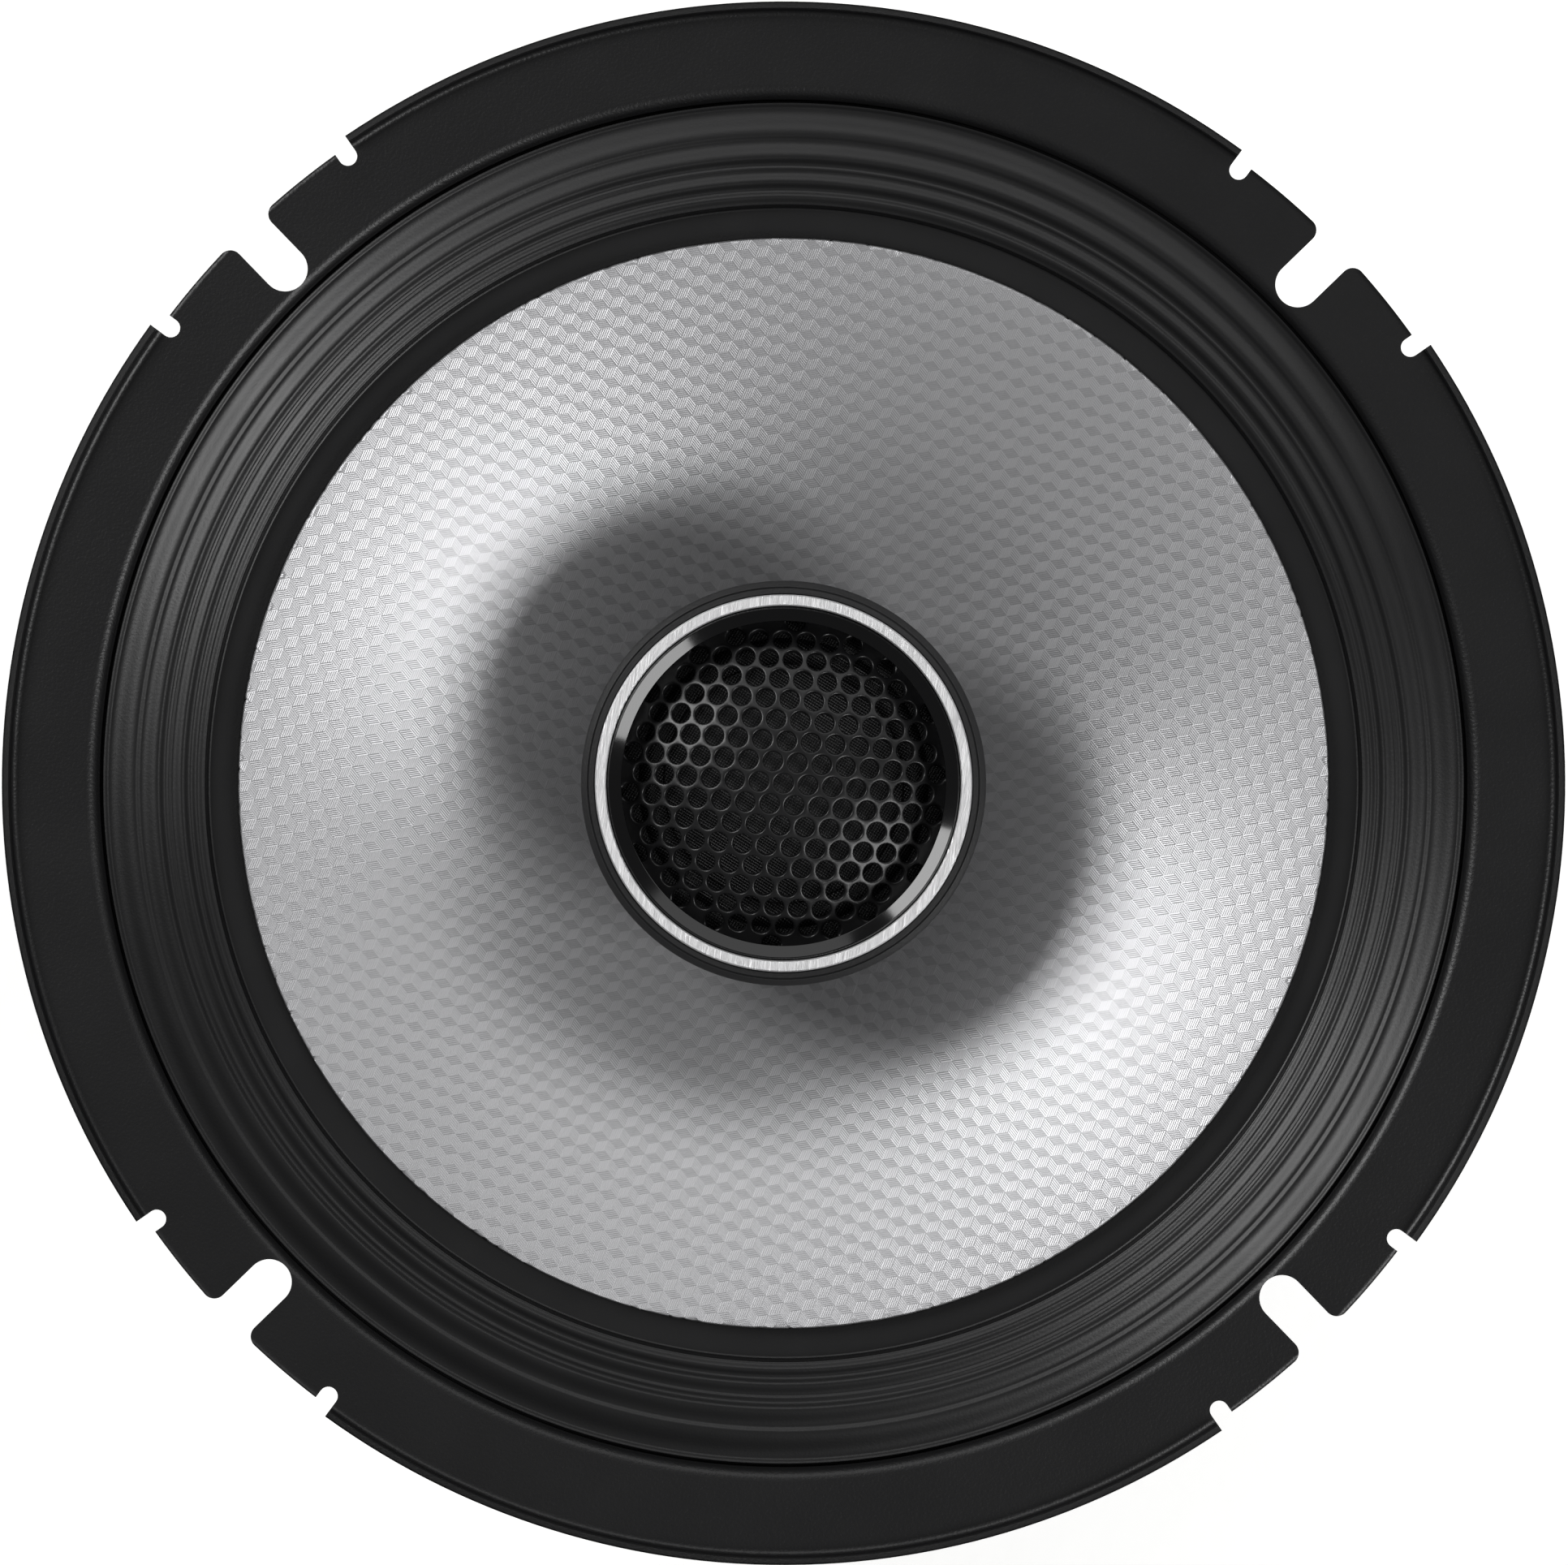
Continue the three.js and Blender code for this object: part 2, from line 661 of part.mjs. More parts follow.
// The column that carries the tweeter: a threaded end through the pole, a spigot in the
// housing's floor, and a bore for the leads.
const spigotTopR = STEM_R - STEM_STEP;
const nutLow = NUT_RECESS_DEPTH - WASHER_T - NUT_T;
const zStemTop = zCup - CHANNEL_DEPTH;
const stem = turned(
  [
    [STEM_BORE_R, nutLow - HOLE_GAP],
    [SPIGOT_R, nutLow - HOLE_GAP],
    [SPIGOT_R, zPole],
    [STEM_R, zPole],
    [STEM_R, zTweeter],
    [spigotTopR, zTweeter],
    [spigotTopR, zStemTop],
    [STEM_BORE_R + BORE_FLARE, zStemTop],
    [STEM_BORE_R, zStemTop - BORE_FLARE],
  ],
  SMALL,
);
const stemWasher = ring(
  SPIGOT_R + HOLE_GAP,
  WASHER_R,
  NUT_RECESS_DEPTH - WASHER_T,
  NUT_RECESS_DEPTH,
  SMALL,
);

function makeNut() {
  const hexagon = new THREE.Shape();
  for (let i = 0; i < 6; i++) {
    const angle = ((i + 0.5) * Math.PI) / 3;
    const r = NUT_ACROSS / 2 / Math.cos(Math.PI / 6);
    const corner = [r * Math.cos(angle), r * Math.sin(angle)];
    if (i === 0) hexagon.moveTo(...corner);
    else hexagon.lineTo(...corner);
  }
  const bore = new THREE.Path();
  bore.absarc(0, 0, SPIGOT_R + HOLE_GAP, 0, 2 * Math.PI, true);
  hexagon.holes.push(bore);
  return raised(hexagon, nutLow, nutLow + NUT_T, SMALL);
}

// The moulded housing, with steps that hold the yoke cup, the face plate, the grille and the
// trim ring, and a channel from the face plate to the stem for the leads.
function makeHousing() {
  const footR = TWEETER_R - HOUSING_TAPER;
  const zTaper = zTweeter + HOUSING_TAPER_H;
  const zRim = zTrim + HOUSING_RIM_STEP;
  const body = turned(
    [
      [spigotTopR + HOLE_GAP, zTweeter],
      [footR - HOUSING_FOOT_CHAMFER, zTweeter],
      [footR, zTweeter + HOUSING_FOOT_CHAMFER],
      [TWEETER_R, zTaper],
      [TWEETER_R, zRim - HOUSING_RIM_BEVEL],
      [TWEETER_R - HOUSING_RIM_BEVEL, zRim],
      [trimR + GLUE, zRim],
      [trimR + GLUE, zTrim],
      [trimInR, zTrim],
      [trimInR, zGrille],
      [housingBoreR, zGrille],
      [housingBoreR, zFacePlate],
      [cupR + GLUE, zFacePlate],
      [cupR + GLUE, zCup],
      [spigotTopR + HOLE_GAP, zCup],
    ],
    MEDIUM,
  );
  const channelEnd = cupR + 3 * TWEETER_LEAD_R;
  const channel = new THREE.BoxGeometry(GROOVE_WIDTH, channelEnd, zFacePlate - zStemTop);
  channel.translate(0, -channelEnd / 2, (zFacePlate + zStemTop) / 2);
  return geometryOf(solid(body).subtract(solid(channel)));
}

// A shallow cap of a sphere, one thickness deep, on an optional flat rim.
function capSection(radius, rise, thickness, base, rim = 0) {
  const steps = 4;
  const sphere = (radius ** 2 + rise ** 2) / (2 * rise);
  const middle = base + rise - sphere;
  const half = Math.asin(radius / sphere);
  const front = [];
  for (let i = 0; i <= steps; i++) {
    const angle = (half * i) / steps;
    front.push([sphere * Math.sin(angle), middle + sphere * Math.cos(angle)]);
  }
  if (rim > 0) front.push([radius + rim, base]);
  const line = front.reverse();
  const back = line.map(([r, z]) => [r, z - thickness]).reverse();
  return [...line, ...back];
}

// Half a roll from the coil outwards, then a flat ring that is glued to the face plate.
function makeTweeterSurround() {
  const start = tweeterCoilOutR + GLUE;
  const width = ROLL_WIDTH - GLUE;
  const steps = 4;
  const line = [];
  for (let i = 0; i <= steps; i++) {
    const angle = (i * Math.PI) / steps;
    line.push([
      start + (width * (1 - Math.cos(angle))) / 2,
      domeBase + ROLL_HEIGHT * Math.sin(angle),
    ]);
  }
  line.push([housingBoreR - HOLE_GAP, domeBase]);
  return turned(sheetSection(line, DOME_T), SMALL);
}

const tweeterPoleR = TWEETER_COIL_R - TWEETER_POLE_GAP;
const zTweeterPole = zFacePlate - TWEETER_PLATE_T;

piece("tweeter_stem", stem, mattBlack);
piece("stem_washer", stemWasher, zincSteel);
piece("stem_nut", makeNut(), zincSteel);
piece("tweeter_housing", makeHousing(), mattBlack);
piece("tweeter_yoke_cup", makeCup(), zincSteel);
piece(
  "tweeter_magnet",
  bar(tweeterPoleR - TWEETER_MAGNET_INSET, zCup + CUP_FLOOR_T, zTweeterPole),
  nickelPlate,
);
piece("tweeter_pole_plate", bar(tweeterPoleR, zTweeterPole, zFacePlate), zincSteel);
piece(
  "tweeter_face_plate",
  ring(cupInR, housingBoreR - GLUE, zFacePlate, zDiaphragm, SMALL),
  zincSteel,
);
piece(
  "tweeter_voice_coil",
  ring(TWEETER_COIL_R, tweeterCoilOutR, domeBase - TWEETER_COIL_H - GLUE, domeBase - GLUE, SMALL),
  copper,
);
piece(
  "tweeter_dome",
  turned(capSection(tweeterCoilOutR, DOME_RISE, DOME_T, domeBase + DOME_T), SMALL),
  blackCloth,
);
piece("tweeter_surround", makeTweeterSurround(), blackCloth);
const zGrilleFront = zGrille + GRILLE_T;
piece(
  "tweeter_grille",
  turned(capSection(bezelInR - GLUE, GRILLE_RISE, GRILLE_T, zGrilleFront, GRILLE_RIM), MEDIUM),
  blackPaint,
);
const zBezel = zGrilleFront + BEZEL_HEIGHT;
piece(
  "tweeter_bezel",
  turned(
    [
      [bezelInR, zGrilleFront],
      [bezelR, zGrilleFront],
      [bezelR, zBezel],
      [bezelR - BEZEL_LIP, zBezel],
      [bezelInR, zBezel - BEZEL_DROP],
    ],
    MEDIUM,
  ),
  glossBlack,
);
piece(
  "tweeter_trim_ring",
  ring(trimInR, trimR, zTrim, zTrim + TRIM_HEIGHT, MEDIUM),
  brushedAluminium,
);

// The steel cup that carries the tweeter's flux up to the outside of its coil.
function makeCup() {
  return turned(
    [
      [0, zCup],
      [cupR - CUP_CHAMFER, zCup],
      [cupR, zCup + CUP_CHAMFER],
      [cupR, zFacePlate],
      [cupInR, zFacePlate],
      [cupInR, zCup + CUP_FLOOR_T],
      [0, zCup + CUP_FLOOR_T],
    ],
    SMALL,
  );
}

// ---------------------------------------------------------------- terminals and crossover

function makeBoard() {
  const w = BOARD_WIDTH / 2;
  const h = BOARD_HEIGHT / 2;
  const outline = new THREE.Shape([
    new THREE.Vector2(-w, -h),
    new THREE.Vector2(w, -h),
    new THREE.Vector2(w, h),
    new THREE.Vector2(-w, h),
  ]);
  const holes = [
    [0, -TERMINAL_RIVET_Y, TERMINAL_RIVET_R + BOARD_GAP],
    [0, TERMINAL_RIVET_Y, TERMINAL_RIVET_R + BOARD_GAP],
    [-BLADE_X, LEAD_HOLE_Y, TINSEL_R + BOARD_GAP],
    [BLADE_X, LEAD_HOLE_Y, TINSEL_R + BOARD_GAP],
  ];
  for (const [x, y, r] of holes) {
    const hole = new THREE.Path();
    hole.absarc(x, y, r, 0, 2 * Math.PI, true);
    outline.holes.push(hole);
  }
  return raised(outline, BOARD_GAP, BOARD_GAP + BOARD_T, TINY);
}

const bladeLow = BOARD_GAP + BOARD_T + BOARD_GAP;

// A push-on blade with chamfered tip corners and a detent hole, its foot on the board.
function makeBlade(width) {
  const w = width / 2;
  const tip = BOARD_HEIGHT / 2 + BLADE_REACH;
  const outline = new THREE.Shape([
    new THREE.Vector2(-w, -BLADE_FOOT),
    new THREE.Vector2(w, -BLADE_FOOT),
    new THREE.Vector2(w, tip - BLADE_TIP_LENGTH),
    new THREE.Vector2(w - BLADE_TIP_WIDTH, tip),
    new THREE.Vector2(BLADE_TIP_WIDTH - w, tip),
    new THREE.Vector2(-w, tip - BLADE_TIP_LENGTH),
  ]);
  const hole = new THREE.Path();
  hole.absarc(0, tip - BLADE_REACH / 2, BLADE_HOLE_R, 0, 2 * Math.PI, true);
  outline.holes.push(hole);
  return raised(outline, bladeLow, bladeLow + BLADE_T, TINY);
}

function makeTerminalRivet() {
  const front = -SHEET - BOARD_GAP;
  const rear = BOARD_GAP + BOARD_T + BOARD_GAP;
  return turned(
    [
      [0, front - TERMINAL_HEAD_T],
      [TERMINAL_HEAD_R, front - TERMINAL_HEAD_T],
      [TERMINAL_HEAD_R, front],
      [TERMINAL_RIVET_R, front],
      [TERMINAL_RIVET_R, rear],
      [TERMINAL_HEAD_R, rear],
      [TERMINAL_HEAD_R, rear + TERMINAL_HEAD_T],
      [0, rear + TERMINAL_HEAD_T],
    ],
    TINY,
  );
}

piece("terminal_board", makeBoard(), brownBoard, leg);
Object.entries(BLADE_WIDTHS).forEach(([name, width], i) => {
  const blade = piece(name, makeBlade(width), tinnedBrass, leg);
  blade.position.x = i === 0 ? BLADE_X : -BLADE_X;
});
[-TERMINAL_RIVET_Y, TERMINAL_RIVET_Y].forEach((y, i) => {
  const rivet = piece(`terminal_rivet_${i + 1}`, makeTerminalRivet(), nickelPlate, leg);
  rivet.position.y = y;
});

// The capacitor that keeps low notes out of the tweeter lies across the leg.
const capacitorZ = CAPACITOR_R + CAPACITOR_GAP;
const capacitorEnd = CAPACITOR_LENGTH / 2;
const capacitor = turned(
  [
    [0, -capacitorEnd],
    [CAPACITOR_R - CAPACITOR_EDGE, -capacitorEnd],
    [CAPACITOR_R, CAPACITOR_EDGE - capacitorEnd],
    [CAPACITOR_R, capacitorEnd - CAPACITOR_EDGE],
    [CAPACITOR_R - CAPACITOR_EDGE, capacitorEnd],
    [0, capacitorEnd],
  ],
  SMALL,
).rotateY(Math.PI / 2);
const capacitorMesh = piece("crossover_capacitor", capacitor, blueSleeve, leg);
capacitorMesh.position.set(0, CAPACITOR_Y, capacitorZ);

const bladeTop = bladeLow + BLADE_T;
const leadEnd = capacitorEnd + LEAD_STUB;

// From the capacitor's end to the foot of the positive blade.
const capacitorLead1 = [
  onLeg(capacitorEnd + TOUCH, CAPACITOR_Y, capacitorZ),
  onLeg(capacitorEnd + 1.6, CAPACITOR_Y + 0.1, capacitorZ),
  onLeg(capacitorEnd + 2.6, CAPACITOR_Y + 1.4, capacitorZ),
  onLeg(capacitorEnd + 2.2, CAPACITOR_Y + 4.5, capacitorZ),
  onLeg(BLADE_X + 1, -6.4, bladeTop + 1),
  onLeg(BLADE_X, -3.4, bladeTop + TOUCH + WIRE_R),
  onLeg(BLADE_X, -1.6, bladeTop + TOUCH + WIRE_R),
];

// A short stub at the capacitor's other end, where the tweeter's positive lead is spliced.
const capacitorLead2 = [
  onLeg(-capacitorEnd - TOUCH, CAPACITOR_Y, capacitorZ),
  onLeg(-leadEnd, CAPACITOR_Y, capacitorZ),
];
piece("capacitor_lead_1", wire(capacitorLead1, WIRE_R, 16), tinnedBrass);
piece("capacitor_lead_2", wire(capacitorLead2, WIRE_R, 2), tinnedBrass);

// The tweeter's two leads: down from the face plate and along the channel in the housing,
// through the stem, out along the groove in the yoke, and up the magnet's side.
function tweeterLead(side, end) {
  const x = side * TWEETER_LEAD_X;
  const channelY = -(cupR + GLUE + 1.5 * TWEETER_LEAD_R);
  const channelZ = zCup - CHANNEL_DEPTH / 2;
  const grooveZ = GROOVE_DEPTH / 2;
  const magnetY = -(MAGNET_R + 1.5 * TOUCH + TWEETER_LEAD_R);
  return [
    new THREE.Vector3(x, channelY, zFacePlate - TOUCH),
    new THREE.Vector3(x, channelY, zCup + 2),
    new THREE.Vector3(x, channelY + 0.4, channelZ + 0.4),
    new THREE.Vector3(x, channelY + 2, channelZ),
    new THREE.Vector3(x, -3.6, channelZ),
    new THREE.Vector3(x, -1.2, channelZ - 0.5),
    new THREE.Vector3(x, 0, channelZ - 2.6),
    new THREE.Vector3(x, 0, channelZ - 6),
    new THREE.Vector3(x, 0, zPole),
    new THREE.Vector3(x, 0, nutLow + 1.5),
    new THREE.Vector3(x, -0.8, nutLow - 0.6),
    new THREE.Vector3(x, -2.8, grooveZ),
    new THREE.Vector3(x, -plateR + 4, grooveZ),
    new THREE.Vector3(x, -plateR - 0.4, grooveZ + 0.3),
    new THREE.Vector3(1.5 * x, magnetY - 0.4, zMagnet - 1.4),
    new THREE.Vector3(2 * x, magnetY, zMagnet + 2),
    new THREE.Vector3(2 * x, magnetY, zTopPlate - 4),
    new THREE.Vector3(2.4 * x, magnetY, zTopPlate - 1),
    ...end,
  ];
}
const splice = onLeg(-leadEnd - TOUCH, CAPACITOR_Y, capacitorZ);
const tweeterLeadPositive = tweeterLead(-1, [
  new THREE.Vector3(-3, -(MAGNET_R + 1.6), zTopPlate + 3),
  new THREE.Vector3(splice.x + 0.3, splice.y + 6.5, splice.z - 5),
  new THREE.Vector3(splice.x - 2, splice.y + 1.2, splice.z - 1),
  new THREE.Vector3(splice.x, splice.y, splice.z),
]);
const tweeterLeadNegative = tweeterLead(1, [
  new THREE.Vector3(4, -(MAGNET_R + 1.2), zTopPlate + 2),
  onLeg(capacitorEnd + 5, CAPACITOR_Y - 5, capacitorZ + 3),
  onLeg(capacitorEnd + 6, CAPACITOR_Y + 1, capacitorZ + 4),
  onLeg(3, -6.8, capacitorZ + 5.4),
  onLeg(-BLADE_X - 0.6, -4.6, bladeTop + 2),
  onLeg(-BLADE_X, -3, bladeTop + TOUCH + TWEETER_LEAD_R),
  onLeg(-BLADE_X, -1.4, bladeTop + TOUCH + TWEETER_LEAD_R),
]);
piece("tweeter_lead_positive", wire(tweeterLeadPositive, TWEETER_LEAD_R, 60), greyInsulation);
piece("tweeter_lead_negative", wire(tweeterLeadNegative, TWEETER_LEAD_R, 64), mattBlack);

// Braided tinsel leads: from the foot of each blade, through the leg, in a slack loop to the
// cone's neck.
function tinselLead(side) {
  const x = side * BLADE_X;
  const endR = neckR + 4.5;
  const endZ = coneHeight(endR) - CONE_T - TINSEL_R - 2 * TOUCH;
  return [
    onLeg(x, LEAD_HOLE_Y, bladeLow - TOUCH),
    onLeg(x, LEAD_HOLE_Y, -SHEET - 1),
    onLeg(x * 1.05, LEAD_HOLE_Y - 0.6, -SHEET - 4),
    onLeg(x * 1.25, LEAD_HOLE_Y - 5, -SHEET - 5.4),
    onLeg(x * 1.4, LEAD_HOLE_Y - 11, -SHEET - 2.6),
    new THREE.Vector3(x * 1.35, -(endR + 15), endZ - 1.6),
    new THREE.Vector3(x * 1.15, -(endR + 7), endZ - 0.4),
    new THREE.Vector3(x * 0.9, -(endR + 2), endZ),
    new THREE.Vector3(x * 0.8, -endR, endZ),
  ];
}
piece("tinsel_lead_positive", wire(tinselLead(1), TINSEL_R, 24), copper);
piece("tinsel_lead_negative", wire(tinselLead(-1), TINSEL_R, 24), copper);

export default speaker;
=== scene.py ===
"""A coaxial car loudspeaker, put together from the basket outwards to the tweeter's grille.

Lengths are in millimetres until a mesh is made, and the speaker's axis is Z. A radius or a height
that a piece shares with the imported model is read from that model's node.
"""
import math

import bmesh
import bpy
import numpy as np
from mathutils import Matrix, Vector


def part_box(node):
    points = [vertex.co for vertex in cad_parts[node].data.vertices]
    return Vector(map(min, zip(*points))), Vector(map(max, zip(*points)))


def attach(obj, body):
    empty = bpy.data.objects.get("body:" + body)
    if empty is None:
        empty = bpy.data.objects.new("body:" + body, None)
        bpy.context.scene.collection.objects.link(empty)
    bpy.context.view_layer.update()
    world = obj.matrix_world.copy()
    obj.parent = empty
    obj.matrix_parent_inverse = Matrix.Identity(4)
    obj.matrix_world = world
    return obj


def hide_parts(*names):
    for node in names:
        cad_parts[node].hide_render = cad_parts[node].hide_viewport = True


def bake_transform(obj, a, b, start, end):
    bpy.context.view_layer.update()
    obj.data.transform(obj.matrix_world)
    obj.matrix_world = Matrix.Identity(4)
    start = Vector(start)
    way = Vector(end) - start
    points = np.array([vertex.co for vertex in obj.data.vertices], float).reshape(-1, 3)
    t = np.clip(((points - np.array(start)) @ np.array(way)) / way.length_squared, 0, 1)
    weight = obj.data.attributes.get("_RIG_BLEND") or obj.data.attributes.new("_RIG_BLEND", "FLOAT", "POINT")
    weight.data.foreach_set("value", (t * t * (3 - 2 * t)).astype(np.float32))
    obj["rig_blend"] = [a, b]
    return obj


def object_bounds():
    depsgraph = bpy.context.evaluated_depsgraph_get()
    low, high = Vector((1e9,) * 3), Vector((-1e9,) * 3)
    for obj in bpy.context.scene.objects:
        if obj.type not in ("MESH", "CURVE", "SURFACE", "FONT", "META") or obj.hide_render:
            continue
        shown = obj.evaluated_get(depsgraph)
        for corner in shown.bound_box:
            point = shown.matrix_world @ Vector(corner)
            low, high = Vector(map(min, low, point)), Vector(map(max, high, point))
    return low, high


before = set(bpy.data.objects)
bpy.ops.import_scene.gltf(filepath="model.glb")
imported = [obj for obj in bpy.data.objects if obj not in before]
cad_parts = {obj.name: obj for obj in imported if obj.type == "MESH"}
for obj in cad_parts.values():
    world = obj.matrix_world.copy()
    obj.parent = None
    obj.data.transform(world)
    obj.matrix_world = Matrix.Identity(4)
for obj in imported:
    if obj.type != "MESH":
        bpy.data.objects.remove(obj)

cad_low, cad_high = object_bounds()

# ---------------------------------------------------------------- studio
# A pale floor that glows a little under the speaker, three softboxes round it and a weak even
# fill. The camera looks straight down the speaker's axis through a long lens.

MM = 0.001
VIEW_DISTANCE = 2.0
VIEW_HALF_WIDTH = 83.22 * MM
CAMERA_ROLL = math.radians(0.9)
FLOOR_SIZE = 6.0
FLOOR_COLOUR = "#f2f2f1"
FLOOR_GLOW = 0.62
FILL_COLOUR = "#ffffff"
FILL_STRENGTH = 0.15
FLOOR_GAP = 0.2 * MM
CREASE = 38  # degrees; a sharper edge than this is shaded sharp

scene = bpy.context.scene
scene.view_settings.view_transform = "Standard"


def linear(colour):
    """An sRGB hex colour as linear red, green, blue and alpha."""
    values = [int(colour[i : i + 2], 16) / 255 for i in (1, 3, 5)]
    return (*[v / 12.92 if v < 0.04045 else ((v + 0.055) / 1.055) ** 2.4 for v in values], 1.0)


def feed(tree, node, inputs):
    """Gives a node its inputs: plain values, sockets, or nodes, which stand for their first output."""
    for key, value in inputs.items():
        if isinstance(value, bpy.types.Node):
            value = next(output for output in value.outputs if output.enabled)
        if isinstance(value, bpy.types.NodeSocket):
            tree.links.new(value, node.inputs[key])
        else:
            node.inputs[key].default_value = value


def add(tree, kind, inputs=None, **settings):
    """Adds a node with settings, its own properties, and inputs."""
    made = tree.nodes.new(kind)
    for key, value in settings.items():
        setattr(made, key, value)
    feed(tree, made, inputs or {})
    return made


def link_object(name, data):
    made = bpy.data.objects.new(name, data)
    scene.collection.objects.link(made)
    return made


def direction(azimuth, polar):
    """The way to a point at an angle round the axis from +X, and at an angle from the axis."""
    a, p = math.radians(azimuth), math.radians(polar)
    return Vector((math.cos(a) * math.sin(p), math.sin(a) * math.sin(p), math.cos(p)))


def softbox(name, azimuth, polar, distance, size, watts):
    light = bpy.data.lights.new(name, "AREA")
    light.shape = "RECTANGLE"
    light.size, light.size_y = size
    light.energy = watts
    lamp = link_object(name, light)
    outward = direction(azimuth, polar)
    lamp.location = outward * distance
    lamp.rotation_euler = outward.to_track_quat("Z", "Y").to_euler()


softbox("softbox_right", 325, 44, 0.9, (0.40, 0.34), 3.4)
softbox("softbox_left", 148, 44, 0.9, (0.34, 0.34), 3.4)
softbox("softbox_top", 78, 45, 1.2, (2.00, 0.50), 3.8)

world = bpy.data.worlds.new("fill")
scene.world = world
world.use_nodes = True
fill = {"Color": linear(FILL_COLOUR), "Strength": FILL_STRENGTH}
feed(world.node_tree, world.node_tree.nodes["Background"], fill)

camera_data = bpy.data.cameras.new("camera")
camera_data.sensor_width = 36
camera_data.lens = camera_data.sensor_width / 2 * VIEW_DISTANCE / VIEW_HALF_WIDTH
camera = link_object("camera", camera_data)
camera.location = (0.05 * MM, 0.08 * MM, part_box("basket")[1].z + VIEW_DISTANCE)
camera.rotation_euler = (0, 0, CAMERA_ROLL)
scene.camera = camera


def surface(name, colour, roughness, **others):
    """A new material of one colour and roughness, with other inputs of its shader."""
    material = bpy.data.materials.new(name)
    material.use_nodes = True
    add(material.node_tree, "ShaderNodeTexCoord", name="place")
    inputs = {key.replace("_", " ").title(): value for key, value in others.items()}
    inputs.update({"Base Color": linear(colour), "Roughness": roughness})
    feed(material.node_tree, material.node_tree.nodes["Principled BSDF"], inputs)
    return material


def opened(material):
    """A material's tree, its shader, and the coordinates of the object that it is on."""
    tree = material.node_tree
    return tree, tree.nodes["Principled BSDF"], tree.nodes["place"].outputs["Object"]


def vary(material, pattern, colour=None, roughness=None, relief=None):
    """A pattern varies a material: between two colours or two roughnesses, or in its height.

    The pattern is a node, or the scale and other inputs of a noise.
    """
    tree, shader, place = opened(material)
    if isinstance(pattern, dict):
        pattern = add(tree, "ShaderNodeTexNoise", {"Vector": place, **pattern})
    if colour:
        ends = {"Factor": pattern, 6: linear(colour[0]), 7: linear(colour[1])}
        feed(tree, shader, {"Base Color": add(tree, "ShaderNodeMix", ends, data_type="RGBA")})
    if roughness:
        ends = {"Value": pattern, "To Min": roughness[0], "To Max": roughness[1]}
        feed(tree, shader, {"Roughness": add(tree, "ShaderNodeMapRange", ends)})
    if relief:
        bump = add(tree, "ShaderNodeBump", {"Height": pattern, "Distance": relief * MM})
        feed(tree, shader, {"Normal": bump})


# Painted board: even, pale and matt, with a trace of roller texture.
glow = {"emission_color": linear(FLOOR_COLOUR), "emission_strength": FLOOR_GLOW}
floor_paint = surface("floor_paint", FLOOR_COLOUR, 0.8, **glow)
vary(floor_paint, {"Scale": 300.0}, relief=0.1)

floor_mesh = bpy.data.meshes.new("floor")
reach = FLOOR_SIZE / 2
corners = [(-reach, -reach, 0), (reach, -reach, 0), (reach, reach, 0), (-reach, reach, 0)]
floor_mesh.from_pydata(corners, [], [(0, 1, 2, 3)])
floor_mesh.materials.append(floor_paint)
floor = link_object("floor", floor_mesh)
floor.location.z = cad_low.z - FLOOR_GAP

# ---------------------------------------------------------------- basket
# Deep-drawn from one steel sheet: the slotted flange with its raised rim, the recess that holds
# the surround, the bowl with six windows, and the floor that is riveted to the motor.
# Degreased and powder coated black, with a fine dry texture.

SHEET = 0.8
RIM_WALL_R = 82.2  # inside of the raised rim
TAB_R = 82.0
RECESS_R = 72.7
RECESS_BEND_R = 1.5
RECESS_DEPTH = 3.0
BOWL_WALL = 5.3
BOWL_R = 70.3
SHOULDER_R = 66.3
SHOULDER_DROP = 4.0
SPIDER_LEDGE_R = (38.0, 42.5)
SPIDER_LEDGE_Z = 31.0
RIM_RISE = 1.8
FLOOR_R = (17.0, 36.0)
LEG_HALF_WIDTH = 12.0
LEG_R = 59.8  # where that width is measured
WINDOW_COUNT = 6
WINDOW_MARGIN = 2.2
WINDOW_CORNER_R = 4.0
EMBOSS_DEPTH = 0.9
EMBOSS_HALF_WIDTH = 4.2
SLOT_COUNT = 4
SLOT_WIDTH = 4.8
SLOT_INNER_R = 73.7
SLOT_CORNER_R = 1.3
NOTCH_OFFSET = 13.3
NOTCH_WIDTH = 2.0
NOTCH_DEPTH = 1.9
BASKET_SEGMENTS = 288
WALL_RINGS = 14
CUT_MARGIN = 2.0  # a cutter reaches this far past what it cuts
PAINT_GRAIN = 0.30  # dry powder's grain


def span(node):
    """A round node's outside radius, and its lowest and highest point, in millimetres."""
    low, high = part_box(node)
    return round(high.x / MM, 3), round(low.z / MM, 3), round(high.z / MM, 3)


def unit(vector):
    return vector / np.linalg.norm(vector)


